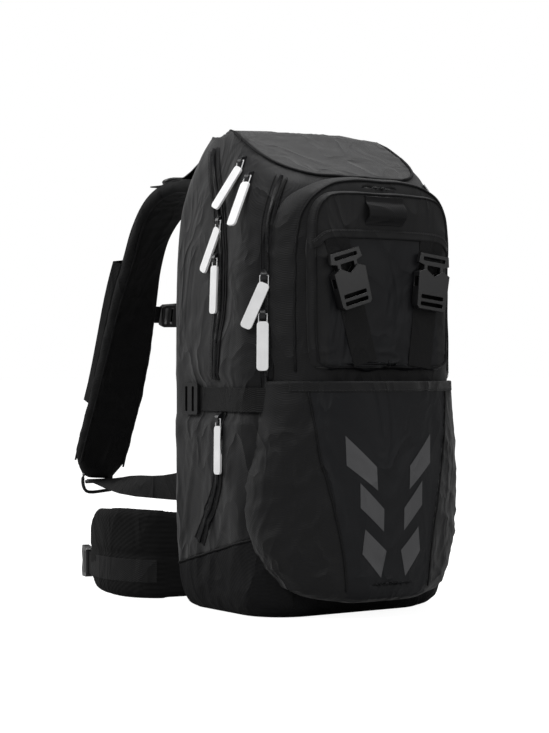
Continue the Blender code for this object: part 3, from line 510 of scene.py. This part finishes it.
def stashShape(x, y, z):
    side = step01(0.055, 0.085, abs(x))
    belly = 0.0025 * math.sin(math.pi * step01(0.0, 0.25, z))
    pleat = ridge(x * 0.7, y * 0.5, z * 0.8 + abs(x) * 0.6, 0.030, 51.0)
    fine = ridge(x, y, z * 1.6, 0.016, 57.0)
    lower = step01(0.24, 0.18, z)
    crumple = 0.0016 * side * bumps(x, y, z, 0.022, 55.0)
    return belly + side * lower * (0.0019 * pleat + 0.0009 * fine) + crumple + 0.0006 * bumps(x, y, z, 0.04, 59.0)


def makePockets():
    front = tub("frontCompartment", halfOutline(frontKnots, 8),
                ((frontBox[1][1] + 0.010, 0.004), (frontBox[1][1], 0.0), (frontBox[1][1] - 0.006, -0.001),
                 (frontFace + 0.012, -0.001), (frontFace + 0.008, 0.0), (frontFace + 0.0045, 0.001),
                 (frontFace + 0.0015, 0.0035), (frontFace + 0.0003, 0.007), (frontFace, 0.011)),
                70, frontShape, [frontCloth], lambda x, y, z: 0)
    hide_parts("front_compartment")
    pocket = tub("frontPocket", halfOutline(pocketKnots, 8),
                 ((pocketBox[1][1], 0.0), (pocketFace + 0.005, 0.0), (pocketFace + 0.002, 0.0012),
                  (pocketFace + 0.0006, 0.003), (pocketFace, 0.006)), 90, pocketShape,
                 [frontCloth, panelCloth], lambda x, y, z: 1 if z < 0.386 and abs(x) < 0.07 else 0)
    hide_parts("front_pocket")
    stash = tub("stashPocket", halfOutline(stashKnots, 14),
                ((stashBox[1][1], 0.030), (stashBox[1][1] - 0.006, 0.012), (stashBox[1][1] - 0.012, 0.003),
                 (stashFace + 0.026, 0.0), (stashFace + 0.018, 0.0), (stashFace + 0.011, 0.0015),
                 (stashFace + 0.006, 0.0045), (stashFace + 0.002, 0.009), (stashFace + 0.0004, 0.014),
                 (stashFace, 0.020)), 110, stashShape, [frontCloth, panelCloth],
                lambda x, y, z: 1 if abs(x) < stashPanelHalf(z) and y < stashFace + 0.006 else 0, bentPocket, True)
    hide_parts("stash_pocket")
    return front, pocket, stash


def stashPanelHalf(z):
    return mix(0.050, 0.086, step01(0.02, 0.24, z))


frontPiece, pocketPiece, stashPiece = makePockets()


def caster(piece):
    data = piece.data
    return BVHTree.FromPolygons([v.co.copy() for v in data.vertices], [tuple(p.vertices) for p in data.polygons])


trees = {p.name: caster(p) for p in (body, base, frontPiece, pocketPiece, stashPiece)}


def onCloth(name, spot, direction, lift):
    # the point where a line from outside meets the cloth, raised a little
    tree = trees[name]
    start = Vector(spot) - Vector(direction).normalized() * 0.12
    hit, normal, _, _ = tree.ray_cast(start, Vector(direction).normalized())
    if hit is None:
        hit, normal, _, _ = tree.find_nearest(Vector(spot))
    if normal.dot(Vector(direction)) > 0:
        normal = -normal
    return hit + normal * lift, normal


# tubes and ribbons -------------------------------------------------------------

def tube(points, radius, sides=8, closed=False):
    verts, faces = [], []
    count = len(points)
    for i, p in enumerate(points):
        ahead = points[(i + 1) % count] if closed or i < count - 1 else points[i]
        behind = points[i - 1] if closed or i > 0 else points[i]
        along = (ahead - behind).normalized()
        side = along.cross(Vector((0.3, 0.2, 1.0))).normalized()
        up = side.cross(along)
        for k in range(sides):
            t = 2 * math.pi * k / sides
            verts.append(p + side * radius * math.cos(t) + up * radius * math.sin(t))
    for i in range(count if closed else count - 1):
        j = (i + 1) % count
        for k in range(sides):
            m = (k + 1) % sides
            faces.append((i * sides + k, i * sides + m, j * sides + m, j * sides + k))
    if not closed:
        faces.append(tuple(reversed(range(sides))))
        faces.append(tuple(range((count - 1) * sides, count * sides)))
    return verts, faces


def joined(name, shapes, finish, body="pack"):
    verts, faces = [], []
    for v, f in shapes:
        base = len(verts)
        verts += v
        faces += [tuple(base + i for i in face) for face in f]
    piece = newPiece(name, verts, faces, [finish])
    mesh = bmesh.new()
    mesh.from_mesh(piece.data)
    bmesh.ops.recalc_face_normals(mesh, faces=mesh.faces)
    mesh.to_mesh(piece.data)
    mesh.free()
    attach(piece, body)
    return piece


def ribbon(name, path, sides, widths, thicks, finish, body, round=0.35, wave=None, ends=True):
    # a strap: a crowned flat section carried along a path, UV in metres
    verts, faces, uvs = [], [], []
    count = len(path)
    run = 0.0
    steps = 6
    for i, p in enumerate(path):
        along = (path[min(i + 1, count - 1)] - path[max(i - 1, 0)]).normalized()
        side = Vector(sides[i])
        side = (side - along * side.dot(along)).normalized()
        out = along.cross(side)
        if i:
            run += (p - path[i - 1]).length
        half, depth = widths[i] / 2, thicks[i] / 2
        lip = min(half * 0.3, depth) * round * 2
        section = []
        for sign in (1, -1):
            for k in range(steps + 1):
                a = sign * (half - lip) * (1 - 2 * k / steps)
                section.append((a, sign * depth))
            section.append((-sign * (half - lip * 0.3), sign * depth * 0.7))
            section.append((-sign * half, 0.0))
            section.append((-sign * (half - lip * 0.3), -sign * depth * 0.7))
        for a, b in section:
            lift = wave(i / (count - 1), a / half) if wave and b > 0 else 0.0
            verts.append(p + side * a + out * (b + lift))
            uvs.append((run, a))
    ring = len(verts) // count
    for i in range(count - 1):
        for k in range(ring):
            m = (k + 1) % ring
            faces.append((i * ring + m, i * ring + k, (i + 1) * ring + k, (i + 1) * ring + m))
    faces.append(tuple(range(ring)))
    faces.append(tuple(reversed(range((count - 1) * ring, count * ring))))
    piece = newPiece(name, verts, faces, [finish], uvs=uvs)
    mesh = bmesh.new()
    mesh.from_mesh(piece.data)
    bmesh.ops.recalc_face_normals(mesh, faces=mesh.faces)
    mesh.to_mesh(piece.data)
    mesh.free()
    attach(piece, body)
    return piece



# pieces that keep the frame's own shape, welded, with softened edges ------------

def frameMesh(node):
    source = frame["nodes"][node]
    mesh = source.data.copy()
    mesh.transform(source.matrix_world)
    solid = bmesh.new()
    solid.from_mesh(mesh)
    bmesh.ops.remove_doubles(solid, verts=solid.verts, dist=0.00003)
    bmesh.ops.dissolve_limit(solid, angle_limit=0.02, verts=solid.verts, edges=solid.edges)
    solid.to_mesh(mesh)
    solid.free()
    mesh.materials.clear()
    return mesh


def bodyOf(node):
    return next(name for name, nodes in frame["record"]["behaviour"]["bodies"].items() if node in nodes)


def edged(node, finish, bevel, segments=2):
    mesh = frameMesh(node)
    mesh.materials.append(finish)
    piece = bpy.data.objects.new(node + "_fine", mesh)
    scene.collection.objects.link(piece)
    mod = piece.modifiers.new("edge", "BEVEL")
    mod.width = bevel
    mod.segments = segments
    mod.limit_method = "ANGLE"
    mod.angle_limit = math.radians(35)
    mod.use_clamp_overlap = True
    mesh.shade_smooth()
    mesh.set_sharp_from_angle(angle=math.radians(50))
    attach(piece, bodyOf(node))
    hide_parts(node)
    return piece


def stuffed(node, finish, voxel, rounds, shape):
    # a padded form: remeshed, rounded, then given its creases
    mesh = frameMesh(node)
    piece = bpy.data.objects.new(node + "_pad", mesh)
    scene.collection.objects.link(piece)
    mod = piece.modifiers.new("even", "REMESH")
    mod.mode = "VOXEL"
    mod.voxel_size = voxel
    mod = piece.modifiers.new("round", "SMOOTH")
    mod.factor = 0.5
    mod.iterations = rounds
    graph = bpy.context.evaluated_depsgraph_get()
    soft = bpy.data.meshes.new_from_object(piece.evaluated_get(graph))
    piece.modifiers.clear()
    piece.data = soft
    soft.materials.clear()
    soft.materials.append(finish)
    normals = [v.normal.copy() for v in soft.vertices]
    for v, n in zip(soft.vertices, normals):
        x, y, z = v.co
        v.co += n * shape(x, y, z, n)
    soft.shade_smooth()
    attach(piece, bodyOf(node))
    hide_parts(node)
    return piece


def strapPad(x, y, z, n):
    facing = abs(n.y) + abs(n.z) * 0.5
    quilt = 0.0012 * math.sin(z * 190.0 + y * 90.0) ** 2
    return 0.0016 + quilt * 0.5 * facing + 0.0009 * bumps(x, y, z, 0.02, 61.0)


def sleevePad(x, y, z, n):
    return 0.0006 + 0.0012 * ridge(x * 0.6, y * 0.6, z * 1.2, 0.022, 63.0) + 0.0007 * bumps(x, y, z, 0.02, 64.0)


def wingPad(x, y, z, n):
    channel = math.exp(-((z - 0.052) / 0.003) ** 2)
    return 0.0018 - 0.0016 * channel + 0.0008 * bumps(x, y, z, 0.03, 65.0)


def backPad(x, y, z, n):
    if n.y < 0.3:
        return 0.0
    grooves = math.exp(-(((z % 0.05) - 0.025) / 0.003) ** 2)
    return 0.0012 * (1 - grooves) + 0.0004 * bumps(x, y, z, 0.02, 66.0)


for side in ("left", "right"):
    stuffed("shoulder_strap_" + side, strapCloth, 0.003, 7, strapPad)
    stuffed("hip_wing_" + side, meshCloth, 0.003, 5, wingPad)
edged("strap_sleeve", strapCloth, 0.0014, 3)
stuffed("back_pad", meshCloth, 0.004, 3, backPad)
stuffed("lumbar_pad", meshCloth, 0.004, 3, backPad)
stuffed("airbag", airbagCloth, 0.003, 5, sleevePad)
print("pads made")

webNodes = ["front_tab_", "front_webbing_", "compression_webbing_", "lower_webbing_", "load_lifter_",
            "sternum_webbing_", "hip_webbing_"]
for name in [base + side for base in webNodes for side in ("left", "right")] + ["haul_loop", "tool_loop"]:
    edged(name, loopCloth if name == "tool_loop" else webbingCloth, 0.0004)
for name in frame["nodes"]:
    if "buckle" in name or "lock" in name:
        edged(name, blackPlastic, 0.0008, 3)
    elif name.endswith("_slider"):
        edged(name, sliderMetal, 0.0005)
    elif name.endswith("_pull"):
        edged(name, pullRubber, 0.0007, 3)
for name, finish, width in (("trigger_handle", pullRubber, 0.0012), ("gas_cylinder", cylinderPaint, 0.0006),
                            ("valve_head", machinedAlloy, 0.0006), ("inflator", blackPlastic, 0.0008),
                            ("frame_sheet", blackPlastic, 0.0004), ("back_panel", meshCloth, 0.0012),
                            ("trigger_cable", blackPlastic, 0.0003)):
    edged(name, finish, width)
print("hardware made")


# seams, piping and zips ------------------------------------------------------------

def laid(name, spots, direction, lift, perSpan=10):
    # knots carried onto the cloth along one direction, with the cloth's normals
    points, normals = [], []
    for spot in smoothPath(spots, perSpan):
        at, normal = onCloth(name, spot, direction, lift)
        points.append(at)
        normals.append(normal)
    return points, normals


def eased(points, rounds=2):
    for _ in range(rounds):
        points = [points[0]] + [(a + b * 2 + c) / 4 for a, b, c in zip(points, points[1:], points[2:])] + [points[-1]]
    return points


def tape(name, points, normals, width, thick, finish):
    sides = []
    count = len(points)
    for i in range(count):
        along = (points[min(i + 1, count - 1)] - points[max(i - 1, 0)]).normalized()
        sides.append(along.cross(normals[i]))
    return ribbon(name, points, sides, [width] * count, [thick] * count, finish, "pack")


def rowTool(label):
    # puts one small shape at even steps along an edge line, laid along it
    tree = bpy.data.node_groups.new(label, "GeometryNodeTree")
    for name, kind, io in (("Geometry", "NodeSocketGeometry", "INPUT"), ("Pitch", "NodeSocketFloat", "INPUT"),
                           ("Length", "NodeSocketFloat", "INPUT"), ("Radius", "NodeSocketFloat", "INPUT"),
                           ("Finish", "NodeSocketMaterial", "INPUT"),
                           ("Geometry", "NodeSocketGeometry", "OUTPUT")):
        tree.interface.new_socket(name, in_out=io, socket_type=kind)
    start = tree.nodes.new("NodeGroupInput")
    end = tree.nodes.new("NodeGroupOutput")
    line = tree.nodes.new("GeometryNodeMeshToCurve")
    even = tree.nodes.new("GeometryNodeResampleCurve")
    even.mode = "LENGTH"
    spots = tree.nodes.new("GeometryNodeInstanceOnPoints")
    bead = tree.nodes.new("GeometryNodeMeshCylinder")
    bead.inputs["Vertices"].default_value = 6
    tangent = tree.nodes.new("GeometryNodeInputTangent")
    turn = tree.nodes.new("FunctionNodeAlignRotationToVector")
    turn.axis = "Z"
    real = tree.nodes.new("GeometryNodeRealizeInstances")
    paint = tree.nodes.new("GeometryNodeSetMaterial")
    link = tree.links.new
    link(start.outputs["Geometry"], line.inputs[0])
    link(line.outputs[0], even.inputs["Curve"])
    link(start.outputs["Pitch"], even.inputs["Length"])
    link(even.outputs[0], spots.inputs["Points"])
    link(start.outputs["Length"], bead.inputs["Depth"])
    link(start.outputs["Radius"], bead.inputs["Radius"])
    link(bead.outputs["Mesh"], spots.inputs["Instance"])
    link(tangent.outputs[0], turn.inputs["Vector"])
    link(turn.outputs[0], spots.inputs["Rotation"])
    link(spots.outputs[0], real.inputs[0])
    link(real.outputs[0], paint.inputs["Geometry"])
    link(start.outputs["Finish"], paint.inputs["Material"])
    link(paint.outputs[0], end.inputs[0])
    return tree


rowTree = rowTool("evenRow")


def row(name, lines, pitch, length, radius, finish, body="pack"):
    verts, edges = [], []
    for points in lines:
        base = len(verts)
        verts += [tuple(p) for p in points]
        edges += [(base + i, base + i + 1) for i in range(len(points) - 1)]
    mesh = bpy.data.meshes.new(name)
    mesh.from_pydata(verts, edges, [])
    piece = bpy.data.objects.new(name, mesh)
    scene.collection.objects.link(piece)
    mod = piece.modifiers.new("row", "NODES")
    mod.node_group = rowTree
    values = {"Pitch": pitch, "Length": length, "Radius": radius, "Finish": finish}
    for item in rowTree.interface.items_tree:
        if item.in_out == "INPUT" and item.name in values:
            mod[item.identifier] = values[item.name]
    graph = bpy.context.evaluated_depsgraph_get()
    made = bpy.data.meshes.new_from_object(piece.evaluated_get(graph))
    piece.modifiers.clear()
    piece.data = made
    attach(piece, body)
    return piece


pipes, stitches, coils = [], [], []


def pipeAlong(points, radius=0.0013, rounds=1):
    pipes.append(tube(eased(points, rounds), radius, 7))


def zipAlong(name, points, normals, width=0.013):
    tape("zipTape_" + name, [p + n * 0.0004 for p, n in zip(points, normals)], normals, width, 0.001, pipeCloth)
    coils.append([p + n * 0.0013 for p, n in zip(points, normals)])
    count = len(points)
    for sign in (1, -1):
        edge = []
        for i in range(count):
            along = (points[min(i + 1, count - 1)] - points[max(i - 1, 0)]).normalized()
            edge.append(points[i] + along.cross(normals[i]) * sign * (width / 2 + 0.0006) + normals[i] * 0.0006)
        pipeAlong(edge, 0.0009)


zipSize = {"bandFront": ((0.017, 0.489), (-0.0005, 0.455), (-0.020, 0.42), (-0.0326, 0.37), (-0.0326, 0.32),
                         (-0.028, 0.28), (-0.022, 0.245)),
           "bandRear": ((0.028, 0.486), (0.016, 0.455), (0.000, 0.42), (-0.0140, 0.37), (-0.0145, 0.31),
                        (-0.0145, 0.28), (-0.013, 0.245)),
           "radio": ((-0.026, 0.212), (-0.024, 0.17), (-0.020, 0.140), (-0.008, 0.115), (0.008, 0.092),
                     (0.020, 0.074))}


def makeSeams():
    for hand in (-1, 1):
        out = (-hand, 0, 0)
        for line in ("bandFront", "bandRear"):
            spots = [(hand * 0.14, y, z) for y, z in zipSize[line]]
            points, normals = laid("bagBody", spots, out, 0.0006)
            pipeAlong(points, 0.0011)
            stitches.append([p + n * 0.0004 + Vector((0, 0.004, 0)) for p, n in zip(points, normals)])
        middle = [(hand * 0.14, (a[0] + b[0]) / 2, (a[1] + b[1]) / 2)
                  for a, b in zip(zipSize["bandFront"], zipSize["bandRear"])]
        points, normals = laid("bagBody", middle, out, 0.0002)
        zipAlong("side%d" % hand, points, normals, 0.010)
        corner = [(hand * (0.1135 - 0.012 * step01(0.40, 0.455, z)), -0.0835 - 0.004 * step01(0.42, 0.455, z), z)
                  for z in (0.20, 0.24, 0.28, 0.32, 0.36, 0.40, 0.43, 0.452)]
        points, normals = laid("bagBody", corner, (-hand, 1, 0), 0.0002)
        zipAlong("corner%d" % hand, points, normals, 0.011)
        spots = [(hand * 0.14, y, z) for y, z in zipSize["radio"]]
        points, normals = laid("bagBody", spots, out, 0.0002)
        zipAlong("radio%d" % hand, points, normals, 0.014)
        # the top panel's side seam and the seam over the base
        for index, radius in ((topIndex, 0.0017), (seamIndex, 0.0012)):
            points = []
            for x, y, z in bodyRings[index][8:]:
                spot = Vector((hand * x, y, z))
                hit, normal, _, _ = trees["bagBody"].find_nearest(spot)
                points.append(hit + normal * 0.0005)
            pipeAlong(points, radius)
    # the arched edge of the front compartment and of the pocket on it
    for tree, knots, face, inset, radius in (("frontCompartment", frontKnots, frontFace, 0.0045, 0.0013),
                                             ("frontPocket", pocketKnots, pocketFace, 0.0035, 0.0010)):
        outline = halfOutline(knots, 8)
        scaled = [(x * (1 - inset / 0.1), 0.0 + z - (inset if z > 0.35 else -inset) * 0.6) for x, z in outline]
        loop = [Vector((x, face, z)) for x, z in scaled] + [Vector((-x, face, z)) for x, z in reversed(scaled)]
        points = []
        for spot in loop:
            hit, normal, _, _ = trees[tree].find_nearest(spot)
            points.append(hit + normal * 0.0004)
        keep = [p for p in points if p.z > 0.245]
        first = [p for p in keep if p.x >= 0]
        second = [p for p in keep if p.x < 0]
        pipeAlong(list(reversed(first)) + list(reversed(second)), radius)
    # the flap line over the upper pocket, and the hem of the lower pocket
    flap = [(-0.0855, pocketFace, 0.377), (-0.070, pocketFace, 0.3875), (-0.03, pocketFace, 0.3895),
            (0.03, pocketFace, 0.3895), (0.070, pocketFace, 0.3875), (0.0855, pocketFace, 0.377)]
    points, normals = laid("frontPocket", flap, (0, 1, 0), 0.0005, 12)
    pipeAlong(points, 0.0012)
    tape("flapHem", [p + Vector((0, -0.0004, 0.004)) for p in points], normals, 0.008, 0.0012, frontCloth)
    stitches.append([p + Vector((0, -0.0012, 0.0065)) for p in points])
    hem = [(x, stashFace, 0.2375) for x in (-0.104, -0.08, -0.04, 0, 0.04, 0.08, 0.104)]
    points, normals = laid("stashPocket", hem, (0, 1, 0), 0.0004, 10)
    tape("stashHem", points, normals, 0.010, 0.0014, frontCloth)
    stitches.append([p + Vector((0, -0.0010, -0.0035)) for p in points])
    for hand in (-1, 1):
        edge = [(hand * (stashPanelHalf(z) + 0.002), stashFace, z) for z in (0.03, 0.07, 0.12, 0.17, 0.232)]
        points, normals = laid("stashPocket", edge, (0, 1, 0), 0.0005, 12)
        pipeAlong(points, 0.0010)
        stitches.append([p + n * 0.0003 - Vector((hand * 0.004, 0, 0)) for p, n in zip(points, normals)])
    joined("piping", pipes, pipeCloth)
    row("zipTeeth", coils, 0.0013, 0.0007, 0.0021, coilPlastic)
    row("stitching", stitches, 0.0034, 0.0024, 0.0003, threadBlack)


makeSeams()
print("seams made")


# shoulder straps' bindings and stitching, and the small locks -----------------------

strapSize = {"knots": ((0.055, 0.081, 0.455), (0.055, 0.0963, 0.455), (0.061, 0.145, 0.458),
                       (0.066, 0.190, 0.444), (0.070, 0.222, 0.414), (0.073, 0.240, 0.376),
                       (0.076, 0.252, 0.335), (0.079, 0.266, 0.280), (0.082, 0.281, 0.230),
                       (0.088, 0.302, 0.170), (0.093, 0.312, 0.128)),
             "turns": (0, 0, 4, 16, 26, 26, 16, 6, 0, 0, 0), "half": 0.0325}


def strapLine(hand, across, out):
    # a line along the strap, offset across its width and out of its face
    path = smoothPath([(hand * x, y, z) for x, y, z in strapSize["knots"]], 8)[6:-3]
    turns = [v.x for v in smoothPath([(t, 0, 0) for t in strapSize["turns"]], 8)][6:-3]
    points = []
    for i, p in enumerate(path):
        t = math.radians(turns[i])
        side = Vector((math.cos(t), -hand * math.sin(t), 0))
        along = (path[min(i + 1, len(path) - 1)] - path[max(i - 1, 0)]).normalized()
        side = (side - along * side.dot(along)).normalized()
        normal = side.cross(along)
        if normal.y + normal.z < 0:
            normal = -normal
        points.append(p + side * across * hand + normal * out)
    return points


def makeStrapDetails():
    shapes, lines = [], []
    for hand in (-1, 1):
        for across in (-1, 1):
            shapes.append(tube(strapLine(hand, across * (strapSize["half"] - 0.0035), 0.0068), 0.0012, 7))
            shapes.append(tube(strapLine(hand, across * (strapSize["half"] - 0.0035), -0.0068), 0.0012, 7))
            lines.append(strapLine(hand, across * (strapSize["half"] - 0.008), 0.0078))
    joined("strapBinding", shapes, pipeCloth)
    row("strapStitches", lines, 0.0034, 0.0024, 0.0003, threadBlack)


def smallLock(name, centre, along, across, width):
    # a ladder lock: a frame of round bars with one bar across the middle
    centre, along, across = Vector(centre), Vector(along).normalized(), Vector(across).normalized()
    half, long = width / 2 + 0.003, 0.011
    corners = [centre + along * a * long + across * b * half for a, b in ((1, 1), (1, -1), (-1, -1), (-1, 1))]
    loop = smoothPath(corners + [corners[0]], 6)
    shapes = [tube(loop[:-1], 0.0020, 8, True)]
    shapes.append(tube([centre + across * half, centre, centre - across * half], 0.0022, 8))
    joined(name, shapes, blackPlastic)


def makeLocks():
    for hand, side in ((-1, "Left"), (1, "Right")):
        smallLock("lifterLock" + side, (hand * 0.067, 0.165, 0.4675), (0, 1, -0.12), (1, 0, 0), 0.022)
        smallLock("lowerLock" + side, (hand * 0.0935, 0.3085, 0.122), (0, -0.1, -1), (1, 0, 0), 0.026)


makeStrapDetails()
makeLocks()
print("strap details made")

chevrons = (((-0.059, 0.188), (-0.023, 0.156), (-0.022, 0.132), (-0.058, 0.158)),
            ((-0.043, 0.140), (-0.014, 0.113), (-0.014, 0.090), (-0.043, 0.115)),
            ((-0.037, 0.093), (-0.010, 0.070), (-0.017, 0.043), (-0.040, 0.068)))


def makeChevrons():
    # grey reflective bars, laid on the lower pocket's cloth
    verts, faces = [], []
    for hand in (1, -1):
        for a, b, c, d in chevrons:
            base = len(verts)
            across, down = 14, 6
            for j in range(down + 1):
                for i in range(across + 1):
                    u, v = i / across, j / down
                    x = mix(mix(a[0], b[0], u), mix(d[0], c[0], u), v) * hand * 0.92
                    z = mix(mix(a[1], b[1], u), mix(d[1], c[1], u), v)
                    spot, _ = onCloth("stashPocket", (x, stashFace, z), (0, 1, 0), 0.00035)
                    verts.append(spot)
            for j in range(down):
                for i in range(across):
                    k = base + j * (across + 1) + i
                    quad = (k, k + 1, k + across + 2, k + across + 1)
                    faces.append(quad if hand < 0 else tuple(reversed(quad)))
    piece = newPiece("reflectiveBars", verts, faces, [printGrey])
    if piece.data.polygons[0].normal.y > 0:
        piece.data.flip_normals()
    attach(piece, "pack")


makeChevrons()
print("chevrons made")

# the floor, the light and the camera --------------------------------------------

viewSize = {"azimuth": -35.0, "height": 0.258, "distance": 2.1, "lens": 95.2}


def makeStage():
    floorMat = bpy.data.materials.new("floorPaint")
    floorMat.use_nodes = True
    tree = floorMat.node_tree
    shader = tree.nodes["Principled BSDF"]
    shader.inputs["Base Color"].default_value = (0.42, 0.42, 0.42, 1)
    shader.inputs["Roughness"].default_value = 0.9
    glow = tree.nodes.new("ShaderNodeEmission")
    glow.inputs["Color"].default_value = (1, 1, 1, 1)
    path = tree.nodes.new("ShaderNodeLightPath")
    add = tree.nodes.new("ShaderNodeAddShader")
    glow.inputs["Strength"].default_value = 0.0
    tree.links.new(mathNode(tree, "MULTIPLY", path.outputs["Is Camera Ray"], 0.93), glow.inputs["Strength"])
    tree.links.new(shader.outputs[0], add.inputs[0])
    tree.links.new(glow.outputs[0], add.inputs[1])
    tree.links.new(add.outputs[0], tree.nodes["Material Output"].inputs["Surface"])
    bpy.ops.mesh.primitive_plane_add(size=60, location=(0, 0, -0.0002))
    floor = bpy.context.object
    floor.name = "floor"
    floor.data.materials.append(floorMat)

    world = bpy.data.worlds.new("studio")
    scene.world = world
    world.use_nodes = True
    tree = world.node_tree
    sky = tree.nodes["Background"]
    sky.inputs["Color"].default_value = (1, 1, 1, 1)
    path = tree.nodes.new("ShaderNodeLightPath")
    seen = mathNode(tree, "MAXIMUM", path.outputs["Is Camera Ray"], path.outputs["Is Transmission Ray"])
    tree.links.new(mathNode(tree, "ADD", mathNode(tree, "MULTIPLY", seen, 0.70), 0.30), sky.inputs["Strength"])

    lamps = {"key": ((-2.0, -0.6, 1.9), 26, 0.9), "top": ((0.3, -0.1, 2.7), 46, 1.2),
             "fill": ((0.9, -2.2, 1.0), 9, 1.2), "back": ((-1.4, 1.7, 1.2), 16, 1.0)}
    for name, (spot, power, size) in lamps.items():
        data = bpy.data.lights.new(name, "AREA")
        data.energy = power
        data.size = size
        lamp = bpy.data.objects.new(name, data)
        lamp.location = spot
        lamp.rotation_euler = (Vector((0, 0, 0.27)) - Vector(spot)).to_track_quat("-Z", "Y").to_euler()
        scene.collection.objects.link(lamp)

    turn = math.radians(viewSize["azimuth"])
    data = bpy.data.cameras.new("view")
    camera = bpy.data.objects.new("view", data)
    camera.location = (math.sin(turn) * viewSize["distance"], -math.cos(turn) * viewSize["distance"],
                       viewSize["height"])
    camera.rotation_euler = (math.radians(90), 0, turn)
    data.sensor_fit = "VERTICAL"
    data.sensor_height = 36.0
    data.lens = viewSize["lens"]
    data.shift_x = -37.0 / 733
    data.shift_y = 0.0
    scene.collection.objects.link(camera)
    scene.camera = camera


makeStage()
print("stage made")
